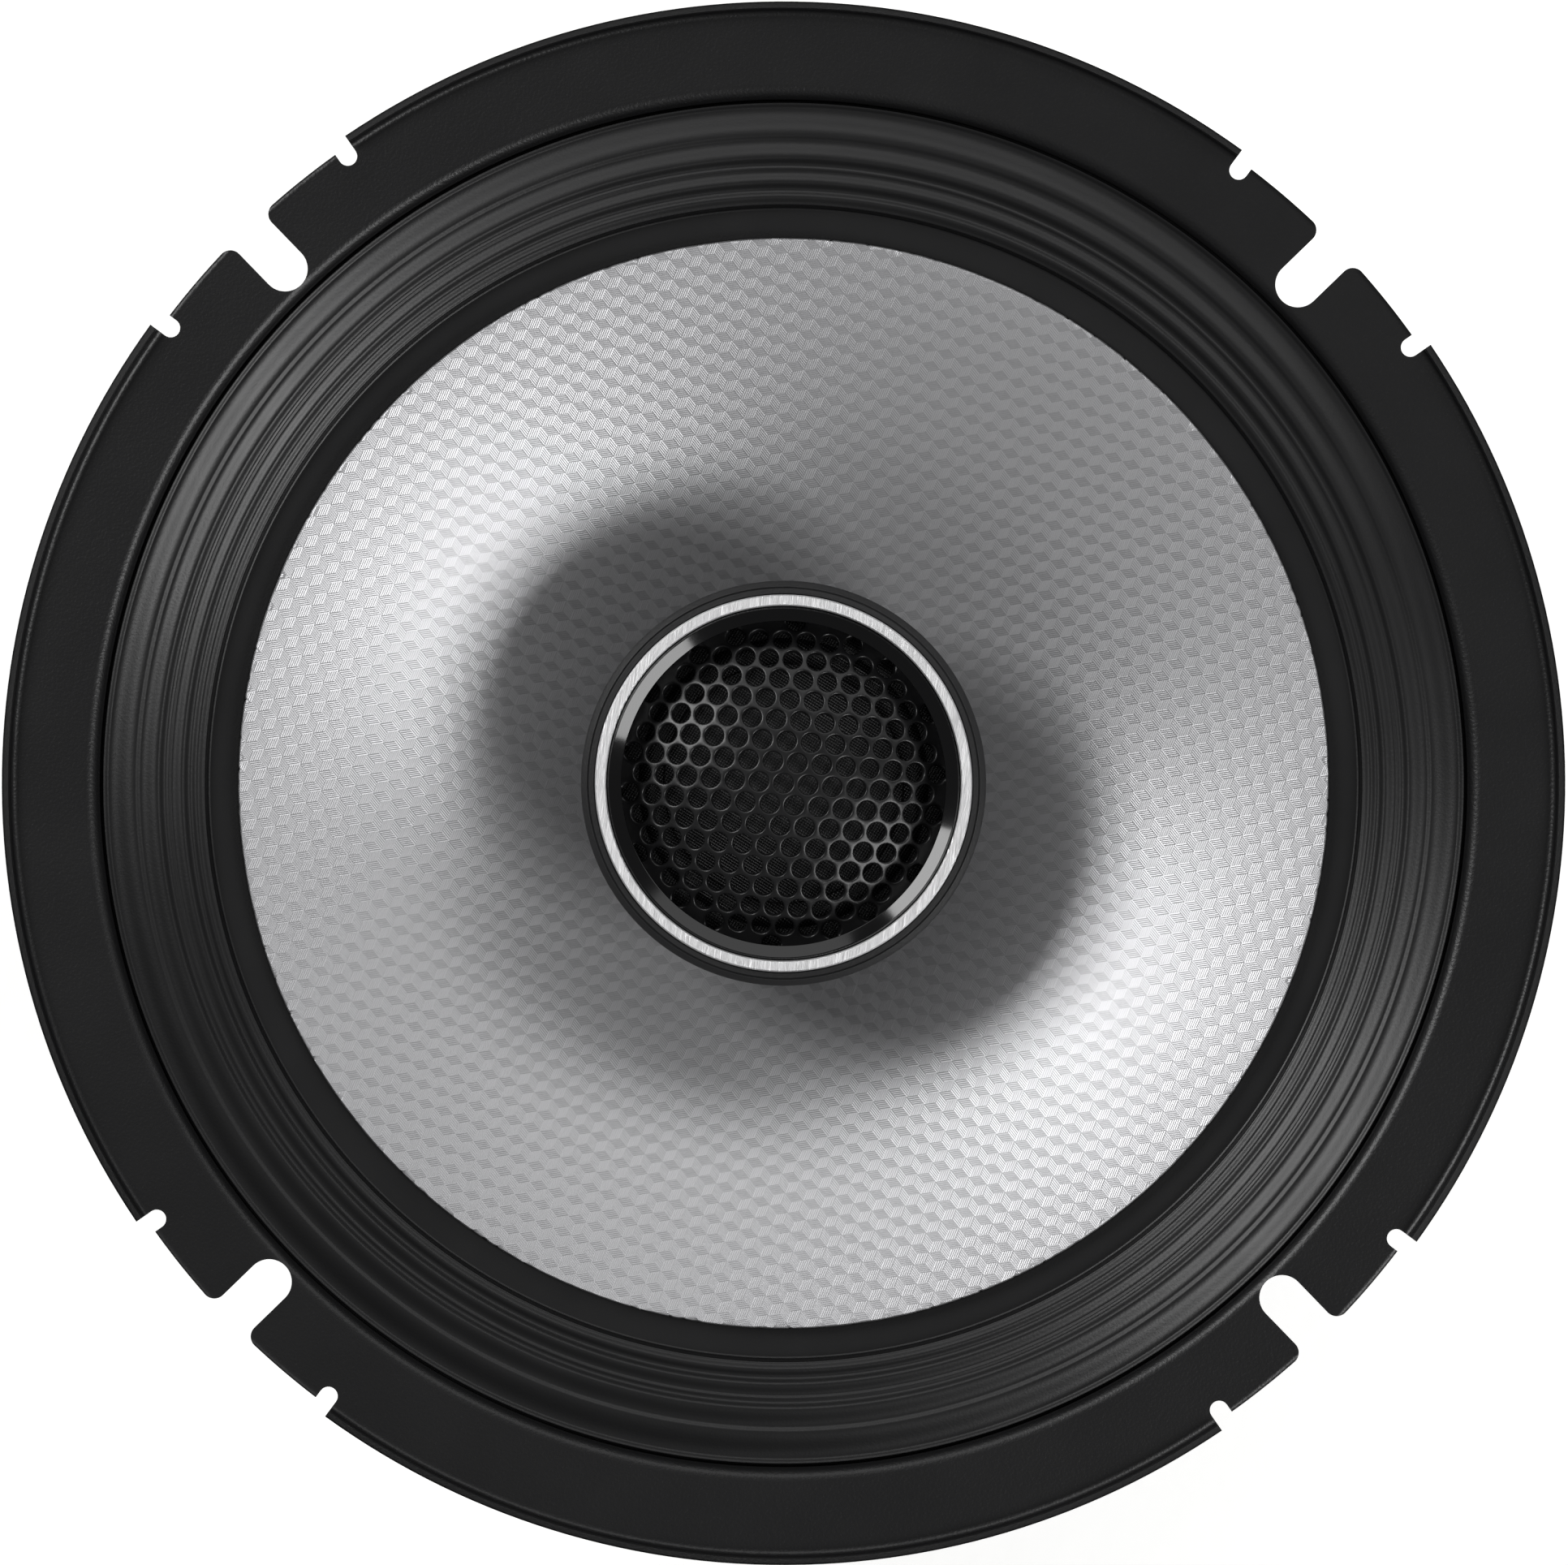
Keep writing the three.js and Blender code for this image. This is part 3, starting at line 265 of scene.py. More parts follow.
def rounded(corners, closed=False, steps=5):
    """A line of (radius, height) corners. A third number is the radius of an arc at that corner.

    A point is set just past each end of an arc, so that the straight run beyond is shaded flat.
    """
    line = []
    count = len(corners)
    for i, corner in enumerate(corners):
        point = np.array(corner[:2], float)
        inside = closed or 0 < i < count - 1
        if len(corner) < 3 or not inside:
            line.append(tuple(point))
            continue
        to_last = np.array(corners[i - 1][:2], float) - point
        to_next = np.array(corners[(i + 1) % count][:2], float) - point
        before, after = unit(to_last), unit(to_next)
        half = math.acos(np.clip(before @ after, -1, 1)) / 2
        centre = point + unit(before + after) * corner[2] / math.sin(half)
        lead = corner[2] / math.tan(half)
        start = point + before * lead - centre
        spare = [np.linalg.norm(run) - lead for run in (to_last, to_next)]
        margins = [np.clip(0.2 * run, 0, 0.05) for run in spare]
        if margins[0] > 0:
            line.append(tuple(point + before * (lead + margins[0])))
        sweep = math.pi - 2 * half
        if before[0] * after[1] - before[1] * after[0] > 0:
            sweep = -sweep
        for k in range(steps + 1):
            c, s = math.cos(sweep * k / steps), math.sin(sweep * k / steps)
            x, y = start
            line.append((centre[0] + x * c - y * s, centre[1] + x * s + y * c))
        if margins[1] > 0:
            line.append(tuple(point + after * (lead + margins[1])))
    return line


def sheet_section(line, thickness):
    """The closed section of a sheet whose front is the line; its back lies below an outward line."""
    points = np.array(line, float)
    along = np.diff(points, axis=0)
    along /= np.linalg.norm(along, axis=1)[:, None]
    normals = np.stack([along[:, 1], -along[:, 0]], axis=1)
    before = np.vstack([normals[:1], normals])
    after = np.vstack([normals, normals[-1:]])
    mitre = before + after
    mitre /= np.linalg.norm(mitre, axis=1)[:, None]
    back = points + mitre * (thickness / np.sum(mitre * before, axis=1))[:, None]
    return [*map(tuple, points), *map(tuple, back[::-1])]


def mesh_piece(name, vertices, faces, material, sharp=CREASE):
    """A piece from points in millimetres: faces out, smooth but for edges over the sharp angle."""
    mesh = bpy.data.meshes.new(name)
    mesh.from_pydata([tuple(c * MM for c in v) for v in vertices], [], faces)
    work = bmesh.new()
    work.from_mesh(mesh)
    bmesh.ops.recalc_face_normals(work, faces=work.faces)
    work.to_mesh(mesh)
    work.free()
    mesh.shade_smooth()
    mesh.set_sharp_from_angle(angle=math.radians(sharp))
    mesh.materials.append(material)
    return link_object(name, mesh)


def lathe(profile, segments):
    """Points and faces of a closed (radius, height) profile turned about the axis."""
    vertices, faces, rings = [], [], []
    for radius, height in profile:
        if radius < 1e-6:
            rings.append([len(vertices)] * segments)
            vertices.append((0, 0, height))
            continue
        rings.append(list(range(len(vertices), len(vertices) + segments)))
        for i in range(segments):
            angle = 2 * math.pi * i / segments
            vertices.append((radius * math.cos(angle), radius * math.sin(angle), height))
    for ring, following in zip(rings, rings[1:] + rings[:1]):
        for i in range(segments):
            j = (i + 1) % segments
            face = [ring[i], ring[j], following[j], following[i]]
            corners = list(dict.fromkeys(face))
            if len(corners) > 2:
                faces.append(corners)
    return vertices, faces


def turned(name, corners, material, segments=144, sharp=CREASE, steps=5):
    """A piece turned about the axis from the corners of its closed section."""
    profile = rounded(corners, closed=True, steps=steps)
    return mesh_piece(name, *lathe(profile, segments), material, sharp)


def prism(outline, low, high):
    """Points and faces of a flat outline raised from one height to another."""
    count = len(outline)
    vertices = [(x, y, z) for z in (low, high) for x, y in outline]
    sides = [(i, (i + 1) % count, count + (i + 1) % count, count + i) for i in range(count)]
    return vertices, [tuple(range(count))[::-1], tuple(range(count, 2 * count)), *sides]


def arc(middle, radius, start, end, steps=10):
    """Points of an arc between two angles in degrees, both ends in it."""
    angles = np.radians(np.linspace(start, end, steps + 1))
    return [(middle[0] + radius * math.cos(a), middle[1] + radius * math.sin(a)) for a in angles]


def new_tree(name, inputs):
    """A Geometry Nodes tree with named inputs: the tree, what comes in, and the material wanted."""
    tree = bpy.data.node_groups.new(name, "GeometryNodeTree")
    tree.interface.new_socket("Geometry", in_out="OUTPUT", socket_type="NodeSocketGeometry")
    for label, kind in [*inputs.items(), ("Material", "Material")]:
        tree.interface.new_socket(label, in_out="INPUT", socket_type="NodeSocket" + kind)
    return tree, add(tree, "NodeGroupInput").outputs


def set_on(tree, points, source, angle):
    """A copy of an object on each point, turned by an angle."""
    part = add(tree, "GeometryNodeObjectInfo", {"Object": source, "As Instance": True})
    heading = add(tree, "ShaderNodeCombineXYZ", {"Z": angle})
    return add(
        tree, "GeometryNodeInstanceOnPoints",
        {"Points": points, "Instance": part.outputs["Geometry"], "Rotation": heading}
    )


def close_tree(tree, geometry, material):
    """Ends a tree: instances made real, the material set, and the result given out."""
    real = add(tree, "GeometryNodeRealizeInstances", {"Geometry": geometry})
    coated = add(tree, "GeometryNodeSetMaterial", {"Geometry": real, "Material": material})
    add(tree, "NodeGroupOutput", {"Geometry": coated})


def grow(name, tree, sizes, material):
    """Runs a tree on an empty object and keeps what it makes as that object's plain mesh."""
    made = link_object(name, bpy.data.meshes.new(name))
    modifier = made.modifiers.new("grow", "NODES")
    modifier.node_group = tree
    for item in tree.interface.items_tree:
        if item.in_out == "INPUT":
            modifier[item.identifier] = {**sizes, "Material": material}[item.name]
    evaluated = made.evaluated_get(bpy.context.evaluated_depsgraph_get())
    made.data = bpy.data.meshes.new_from_object(evaluated)
    made.modifiers.remove(modifier)
    return made


around, given = new_tree("set_round_the_axis", {"Part": "Object", "Count": "Int", "First": "Float"})
points = add(around, "GeometryNodeMeshLine", {"Count": given["Count"], "Offset": (0, 0, 0)})
pitch = add(around, "ShaderNodeMath", {0: 2 * math.pi, 1: given["Count"]}, operation="DIVIDE")
index = add(around, "GeometryNodeInputIndex")
angle = add(around, "ShaderNodeMath", {0: index, 1: pitch, 2: given["First"]}, operation="MULTIPLY_ADD")
close_tree(around, set_on(around, points, given["Part"], angle), given["Material"])


def placed(name, source, count, first):
    """Copies of a cutter, set evenly round the axis from a first angle in degrees."""
    return grow(name, around, {"Part": source, "Count": count, "First": math.radians(first)}, None)


def cut(piece, cutters, sharp=CREASE):
    """Cuts closed meshes out of a piece, and removes them."""
    for cutter in cutters:
        modifier = piece.modifiers.new("cut", "BOOLEAN")
        modifier.operation = "DIFFERENCE"
        modifier.solver = "MANIFOLD"
        modifier.object = cutter
    evaluated = piece.evaluated_get(bpy.context.evaluated_depsgraph_get())
    mesh = bpy.data.meshes.new_from_object(evaluated)
    material = piece.data.materials[0]
    piece.modifiers.clear()
    piece.data = mesh
    mesh.materials.clear()
    mesh.materials.append(material)
    mesh.polygons.foreach_set("material_index", [0] * len(mesh.polygons))
    mesh.set_sharp_from_angle(angle=math.radians(sharp))
    for cutter in cutters:
        bpy.data.objects.remove(cutter)


# The powder lies in a fine orange-peel grain that scatters the light into a soft grey sheen, and
# is rubbed a little smoother in broad patches.
black_paint = surface("black_powder_coat", "#0f0f10", 0.36)
vary(black_paint, {"Scale": 90.0}, roughness=(0.33, 0.41))
vary(black_paint, {"Scale": 1 / (PAINT_GRAIN * MM), "Detail": 2.0}, relief=0.035)

flange_outer_r, basket_low, rim_top = span("basket")
floor_z = basket_low + SHEET
flange_z = rim_top - RIM_RISE
ledge_z = flange_z - RECESS_DEPTH
bowl_z = ledge_z - BOWL_WALL
shoulder_z = bowl_z - SHOULDER_DROP
leg_slope = math.atan((shoulder_z - SPIDER_LEDGE_Z) / (SHOULDER_R - SPIDER_LEDGE_R[1]))

corners = [
    (FLOOR_R[0], floor_z), (FLOOR_R[1], floor_z, 1.2), (SPIDER_LEDGE_R[0], SPIDER_LEDGE_Z, 1.2),
    (SPIDER_LEDGE_R[1], SPIDER_LEDGE_Z, 1.5), (SHOULDER_R, shoulder_z, 3.0), (BOWL_R, bowl_z, 2.5),
    (BOWL_R, ledge_z, 0.9), (RECESS_R, ledge_z, 0.1), (RECESS_R, flange_z, RECESS_BEND_R),
    (RIM_WALL_R, flange_z, 0.8), (RIM_WALL_R, rim_top - 0.15), (RIM_WALL_R + 0.12, rim_top)
]
basket_line = rounded(corners, steps=6)
# Long straight walls get rings of their own, so that the stiffening ribs can be pressed in them.
wall_start = max(i for i, (r, z) in enumerate(basket_line) if r < SPIDER_LEDGE_R[1] + 1)
wall_end = min(i for i, (r, z) in enumerate(basket_line) if r > SHOULDER_R - 2.5)
low, high = np.array(basket_line[wall_start]), np.array(basket_line[wall_end])
shares = [k / WALL_RINGS for k in range(1, WALL_RINGS)]
wall = [tuple(low * (1 - share) + high * share) for share in shares]
basket_line = basket_line[: wall_start + 1] + wall + basket_line[wall_end:]
basket = turned("pressed_basket", sheet_section(basket_line, SHEET), black_paint, BASKET_SEGMENTS)

# Each leg but the terminals' one is stiffened by a rib pressed towards the cone.
leg_pitch = 2 * math.pi / WINDOW_COUNT
wall_normal = Vector((-math.sin(leg_slope), 0, math.cos(leg_slope)))
for vertex in basket.data.vertices:
    x, y, z = (c / MM for c in vertex.co)
    radius, angle = math.hypot(x, y), math.atan2(y, x)
    leg_angle = (math.floor(angle / leg_pitch) + 0.5) * leg_pitch
    across = abs(radius * math.sin(angle - leg_angle)) / EMBOSS_HALF_WIDTH
    along = (radius - SPIDER_LEDGE_R[1] - 4) / (SHOULDER_R - SPIDER_LEDGE_R[1] - 9)
    is_wall = SPIDER_LEDGE_Z < z < shoulder_z + 0.5 and SPIDER_LEDGE_R[1] < radius < SHOULDER_R
    if is_wall and across < 1 and 0 < along < 1 and abs(leg_angle + math.pi / 2) > 0.1:
        rise = EMBOSS_DEPTH * math.cos(across * math.pi / 2) ** 2 * min(1, 6 * along, 6 * (1 - along))
        outward = Vector((math.cos(angle), math.sin(angle), 0))
        vertex.co += (outward * wall_normal.x + Vector((0, 0, wall_normal.z))) * rise * MM


def cutter(name, outline, low, high):
    """A closed prism to cut with."""
    return mesh_piece(name, *prism(outline, low, high), black_paint)


window_half = math.degrees(math.pi / WINDOW_COUNT - LEG_HALF_WIDTH / LEG_R)
inner = SPIDER_LEDGE_R[1] + WINDOW_MARGIN
outer = SHOULDER_R - WINDOW_MARGIN


def sector_corner(radius, side, inward):
    """The rounded corner of a window, at one end of its inner or outer edge."""
    angle = math.radians(window_half * side)
    turn = math.degrees(angle)
    middle_r = radius + inward * WINDOW_CORNER_R
    shift = -side * WINDOW_CORNER_R
    c, s = math.cos(angle), math.sin(angle)
    middle = (middle_r * c - shift * s, middle_r * s + shift * c)
    quarters = {(-1, 1): (0, 90), (-1, -1): (-90, 0), (1, 1): (90, 180), (1, -1): (180, 270)}
    start, end = quarters[inward, side]
    return arc(middle, WINDOW_CORNER_R, turn + start, turn + end, 6)


def edge_arc(radius, start, end):
    """The edge of a window between two angles, less the corners at its ends."""
    trim = math.degrees(WINDOW_CORNER_R / radius)
    low, high = sorted((start, end))
    run = arc((0, 0), radius, low + trim, high - trim, 16)
    return run if start < end else run[::-1]


window_outline = [
    *sector_corner(outer, -1, -1), *edge_arc(outer, -window_half, window_half),
    *sector_corner(outer, 1, -1), *sector_corner(inner, 1, 1),
    *edge_arc(inner, window_half, -window_half), *sector_corner(inner, -1, 1)
]
window = cutter("window", window_outline, SPIDER_LEDGE_Z - 3, shoulder_z + CUT_MARGIN)

flange_cut = (flange_z - 2 * CUT_MARGIN, rim_top + CUT_MARGIN)
half = SLOT_WIDTH / 2
slot_end = SLOT_INNER_R + half
mouth = math.sqrt(TAB_R**2 - (half + SLOT_CORNER_R) ** 2) - SLOT_CORNER_R
far = flange_outer_r + 1.5
slot_outline = [
    *arc((slot_end, 0), half, 90, 270, 24), *arc((mouth, -half - SLOT_CORNER_R), SLOT_CORNER_R, 90, 0, 8),
    (far, -half - SLOT_CORNER_R), (far, half + SLOT_CORNER_R),
    *arc((mouth, half + SLOT_CORNER_R), SLOT_CORNER_R, 0, -90, 8)
]
slot = cutter("slot", slot_outline, *flange_cut)

half = NOTCH_WIDTH / 2
notch_outline = [*arc((TAB_R - NOTCH_DEPTH + half, 0), half, 90, 270, 12), (far, -half), (far, half)]
notch = cutter("notch", notch_outline, *flange_cut)
notch_angle = math.degrees(NOTCH_OFFSET / TAB_R)
tab_outline = [
    *arc((0, 0), far, -notch_angle, notch_angle, 24), *arc((0, 0), TAB_R, notch_angle, -notch_angle, 24)
]
tab_edge = cutter("tab_edge", tab_outline, *flange_cut)

between_slots = 180 / SLOT_COUNT
cutters = [placed("windows", window, WINDOW_COUNT, 0)]
for name, source, first in (
    ("tab_edges", tab_edge, between_slots),
    ("slots", slot, between_slots),
    ("notches_before", notch, between_slots - notch_angle),
    ("notches_after", notch, between_slots + notch_angle),
):
    cutters.append(placed(name, source, SLOT_COUNT, first))
cut(basket, cutters)
for source in (window, slot, notch, tab_edge):
    bpy.data.objects.remove(source)
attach(basket, "frame")
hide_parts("basket")

# ---------------------------------------------------------------- motor
# A forged steel yoke whose rear plate and pole are one piece, a sintered ferrite ring and a steel
# top plate, held by anaerobic glue. The basket's floor is fixed to it by four rivets.

POLE_R = 12.4
NUT_RECESS_R = 7.6
NUT_RECESS_DEPTH = 6.0
BORE_R = 3.2
PLATE_CHAMFER = 0.8
GROOVE_WIDTH = 2.6
GROOVE_DEPTH = 1.8
PLATE_HOLE_R = 13.95
MAGNET_HOLE_R = 17.95
TURNING_PITCH = 0.45  # feed marks; the real ones are about a third of this, too fine to show
FERRITE_GRAIN = 0.5
RIVET_COUNT = 4
SHANK_SHARE = 0.57  # of the radius of a rivet's head

# Zinc plate over turned steel: a cool grey mirror broken by the rings that the lathe left, with
# cloudy patches where the chromate took more or less.
zinc_steel = surface("zinc_plated_steel", "#a9adb1", 0.34, metallic=1.0)
tree, shader, place = opened(zinc_steel)
flat_place = add(tree, "ShaderNodeVectorMath", {0: place, 1: (1, 1, 0)}, operation="MULTIPLY")
radius = add(tree, "ShaderNodeVectorMath", {0: flat_place}, operation="LENGTH")
rings = add(
    tree, "ShaderNodeTexNoise", {"W": radius, "Scale": 1 / (TURNING_PITCH * MM), "Detail": 3.0},
    noise_dimensions="1D"
)
vary(zinc_steel, {"Scale": 120.0, "Detail": 4.0}, colour=("#8f949b", "#c0bfb8"), roughness=(0.26, 0.46))
vary(zinc_steel, rings, relief=0.04)

# Sintered ferrite: a dull charcoal, sandy to the eye, with paler bruises where it was handled.
ferrite = surface("sintered_ferrite", "#3b3b3d", 0.78)
tree, shader, place = opened(ferrite)
bruises = add(tree, "ShaderNodeTexNoise", {"Vector": place, "Scale": 160.0, "Detail": 6.0})
worn = add(tree, "ShaderNodeMapRange", {"Value": bruises, "From Min": 0.56, "From Max": 0.72})
vary(ferrite, worn, colour=("#333335", "#434345"))
vary(ferrite, {"Scale": 1 / (FERRITE_GRAIN * MM), "Detail": 4.0}, relief=0.12)

plate_r, _, pole_top = span("yoke")
magnet_r, magnet_low, magnet_top = span("ferrite_magnet")
top_plate_r, plate_low, plate_top = span("top_plate")
c = PLATE_CHAMFER
yoke_corners = [
    (BORE_R, NUT_RECESS_DEPTH), (NUT_RECESS_R, NUT_RECESS_DEPTH, 0.3), (NUT_RECESS_R, 0.5),
    (NUT_RECESS_R + 0.5, 0), (plate_r - c, 0, 0.2), (plate_r, c, 0.2), (plate_r, magnet_low - 0.3),
    (plate_r - 0.3, magnet_low), (POLE_R, magnet_low, 0.6), (POLE_R, pole_top - c, 0.2),
    (POLE_R - c, pole_top, 0.2), (BORE_R, pole_top)
]
yoke = turned("forged_yoke", yoke_corners, zinc_steel, steps=3)
groove_half = GROOVE_WIDTH / 2
groove_outline = [
    (-groove_half, -magnet_r - 2), (groove_half, -magnet_r - 2), *arc((0, -5), groove_half, 0, 180, 10)
]
cut(yoke, [cutter("groove", groove_outline, -GROOVE_DEPTH, GROOVE_DEPTH)])

magnet_corners = [
    (MAGNET_HOLE_R, magnet_low), (magnet_r, magnet_low, 0.9), (magnet_r, magnet_top, 0.9),
    (MAGNET_HOLE_R, magnet_top)
]
magnet = turned("ferrite_ring", magnet_corners, ferrite, steps=4)

top_plate_corners = [
    (PLATE_HOLE_R, plate_low), (top_plate_r, plate_low, 0.25), (top_plate_r, plate_top - c, 0.2),
    (top_plate_r - c, plate_top, 0.2), (PLATE_HOLE_R, plate_top)
]
top_plate = turned("steel_top_plate", top_plate_corners, zinc_steel, steps=3)

for piece, node in ((yoke, "yoke"), (magnet, "ferrite_magnet"), (top_plate, "top_plate")):
    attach(piece, "frame")
    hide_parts(node)


def shifted(vertices, centre):
    """Points moved from the origin to a centre."""
    return [(x + centre[0], y + centre[1], z + centre[2]) for x, y, z in vertices]


for number in range(1, RIVET_COUNT + 1):
    node = f"motor_rivet_{number}"
    low, high = (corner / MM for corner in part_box(node))
    head_r = (high.x - low.x) / 2
    head_z = high.z - low.z
    shank_r = head_r * SHANK_SHARE
    corners = [
        (0, 0), (shank_r, 0), (shank_r, head_z - 1.4), (head_r, head_z - 1.4, 0.15),
        (head_r, head_z - 0.9, 0.45), (head_r * 0.45, head_z, 0.9), (0, head_z)
    ]
    profile = rounded(corners, steps=6)
    vertices, faces = lathe(profile, 32)
    centre = ((low.x + high.x) / 2, (low.y + high.y) / 2, low.z)
    rivet = mesh_piece(f"floor_rivet_{number}", shifted(vertices, centre), faces, zinc_steel)
    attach(rivet, "frame")
    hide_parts(node)

# ---------------------------------------------------------------- stem
# A moulded hollow column that stands on the pole and carries the tweeter. Its threaded end goes
# through the pole and is held by a washer and a thin hexagon nut in the yoke's recess.

STEM_R = 6.5
STEM_SPIGOT_R = 3.0
STEM_TOP_R = 4.5
STEM_BORE_R = 2.0
STEM_FLARE = 1.2
THREAD_PITCH = 0.8
NUT_ACROSS = 10.0
SPARK_GRAIN = 0.28

# Glass-filled nylon, moulded: black and matt, with a fine even spark texture.
matt_black = surface("moulded_black_nylon", "#1d1d1e", 0.5)
vary(matt_black, {"Scale": 1 / (SPARK_GRAIN * MM), "Detail": 2.0}, relief=0.035)
vary(matt_black, {"Scale": 140.0}, roughness=(0.42, 0.58))

_, stem_low, stem_top = span("tweeter_stem")
housing_r, housing_low, housing_top = span("tweeter_housing")
shoulder_corners = [
    (STEM_SPIGOT_R + 0.1, pole_top), (STEM_R + 0.9, pole_top, 0.3), (STEM_R + 0.9, pole_top + 1.6, 0.3),
    (STEM_R, pole_top + 2.5, 0.6), (STEM_R, housing_low, 0.2), (STEM_TOP_R, housing_low)
]
thread = []
turns = int((pole_top - stem_low - 1) / THREAD_PITCH)
for k in range(turns):
    z = stem_low + 0.3 + k * THREAD_PITCH
    thread += [(STEM_SPIGOT_R - 0.3, z), (STEM_SPIGOT_R, z + THREAD_PITCH / 2)]
stem_profile = [
    (STEM_BORE_R, stem_low), (STEM_SPIGOT_R - 0.3, stem_low), *thread,
    (STEM_SPIGOT_R - 0.3, pole_top - 0.4), (STEM_SPIGOT_R, pole_top),
    *rounded(shoulder_corners), (STEM_TOP_R, stem_top), (STEM_BORE_R + STEM_FLARE, stem_top),
    (STEM_BORE_R, stem_top - STEM_FLARE)
]
stem = turned("tweeter_column", stem_profile, matt_black, 96)

washer_r, washer_low, washer_high = span("stem_washer")
washer_corners = [
    (BORE_R, washer_low), (washer_r, washer_low, 0.2), (washer_r, washer_high, 0.1), (BORE_R, washer_high)
]
washer = turned("column_washer", washer_corners, zinc_steel, 72)

nut_low, nut_high = (corner.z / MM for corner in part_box("stem_nut"))
corner_r = NUT_ACROSS / 2 / math.cos(math.pi / 6)
hexagon = arc((0, 0), corner_r, 30, 330, 5)
nut = mesh_piece("column_nut", *prism(hexagon, nut_low, nut_high), zinc_steel)
bore = mesh_piece("bore", *prism(arc((0, 0), BORE_R, 0, 351, 39), nut_low - 1, nut_high + 1), zinc_steel)
chamfer_r = NUT_ACROSS / 2 - 0.2
chamfer_corners = [
    (chamfer_r, nut_low - 0.01), (corner_r + 1, nut_low + 0.9), (corner_r + 1, nut_low - 1),
    (chamfer_r, nut_low - 1)
]
chamfer = turned("chamfer", chamfer_corners, zinc_steel, 96)
cut(nut, [bore, chamfer], sharp=25)

for piece, node in ((stem, "tweeter_stem"), (washer, "stem_washer"), (nut, "stem_nut")):
    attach(piece, "frame")
    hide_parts(node)

# ---------------------------------------------------------------- voice coil
# A rolled aluminium former, glued into the cone's neck and the spider's collar, with a layer of
# enamelled copper wire wound on its lower end, in the magnet's gap.

WIRE_PITCH = 0.25
FOIL_T = 0.25
ROLLING_PITCH = 0.2

# Rolled aluminium foil: bright, with faint rolling lines round the former.
foil = surface("rolled_aluminium", "#d5d6d8", 0.3, metallic=1.0)
tree, shader, place = opened(foil)
heights = add(tree, "ShaderNodeSeparateXYZ", {"Vector": place})
lines = add(
    tree, "ShaderNodeTexNoise",
    {"W": heights.outputs["Z"], "Scale": 1 / (ROLLING_PITCH * MM), "Detail": 2.0},
    noise_dimensions="1D"
)
vary(foil, lines, relief=0.02)


def ridges(tree, along, frequency):
    """Rounded ridges side by side: the height of each is half a sine wave."""
    phase = add(tree, "ShaderNodeMath", {0: along, 1: frequency}, operation="MULTIPLY")
    wave = add(tree, "ShaderNodeMath", {0: phase}, operation="SINE")
    return add(tree, "ShaderNodeMath", {0: wave}, operation="ABSOLUTE")


# Enamelled copper wire: a deep orange metal under clear lacquer, in round turns side by side.
copper = surface("enamelled_copper", "#c8683a", 0.28, metallic=1.0, coat_weight=0.6, coat_roughness=0.1)
tree, shader, place = opened(copper)
heights = add(tree, "ShaderNodeSeparateXYZ", {"Vector": place})
vary(copper, ridges(tree, heights.outputs["Z"], math.pi / (WIRE_PITCH * MM)), relief=0.1)

former_r, former_low, former_high = span("voice_coil_former")
former_inner = former_r - FOIL_T
former_corners = [
    (former_inner, former_low), (former_r, former_low, 0.05), (former_r, former_high, 0.05),
    (former_inner, former_high)
]
former = turned("aluminium_former", former_corners, foil)
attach(former, "cone_assembly")
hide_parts("voice_coil_former")


def coat(node, material):
    """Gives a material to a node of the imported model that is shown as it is."""
    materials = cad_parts[node].data.materials
    materials.clear()
    materials.append(material)


coat("voice_coil_winding", copper)

# ---------------------------------------------------------------- spider
# A disc of cotton cloth, stiffened with phenolic resin and pressed into corrugations. Its collar
# is glued to the former and its rim to the basket's ledge.

SPIDER_T = 0.5
SPIDER_WAVE = 0.9
SPIDER_WAVES = 5
SPIDER_COLLAR = 2.5
SPIDER_WAVE_END = 37.0
CLOTH_PITCH = 0.55
POINTS_IN_HALF_WAVE = 10

# Resin-soaked cotton: amber brown, plain woven, dry, with darker crossings where resin pooled.
resin_cloth = surface("resin_cotton", "#a9773c", 0.75)
tree, shader, place = opened(resin_cloth)
split = add(tree, "ShaderNodeSeparateXYZ", {"Vector": place})
threads = []
for axis in ("X", "Y"):
    phase = add(
        tree, "ShaderNodeMath", {0: split.outputs[axis], 1: 2 * math.pi / (CLOTH_PITCH * MM)},
        operation="MULTIPLY"
    )
    threads.append(add(tree, "ShaderNodeMath", {0: phase}, operation="SINE"))
crossing = add(tree, "ShaderNodeMath", {0: threads[0], 1: threads[1]}, operation="MULTIPLY")
stain = add(tree, "ShaderNodeTexNoise", {"Vector": place, "Scale": 200.0, "Detail": 3.0})
mixed = add(tree, "ShaderNodeMath", {0: crossing, 1: 0.35, 2: stain}, operation="MULTIPLY_ADD")
vary(resin_cloth, mixed, colour=("#6f4719", "#bd8b4e"))
vary(resin_cloth, crossing, relief=0.08)


def bend_between(piece, moving, inner, outer):
    """The piece moves with a body inside one radius, stays with the frame outside another, and
    stretches smoothly in between."""
    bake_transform(piece, "frame", moving, start=(outer * MM, 0, 0), end=(inner * MM, 0, 0))
    points = np.array([v.co for v in piece.data.vertices])
    share = np.clip((outer * MM - np.hypot(points[:, 0], points[:, 1])) / ((outer - inner) * MM), 0, 1)
    weights = share**2 * (3 - 2 * share)
    piece.data.attributes["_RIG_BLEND"].data.foreach_set("value", weights.astype(np.float32))


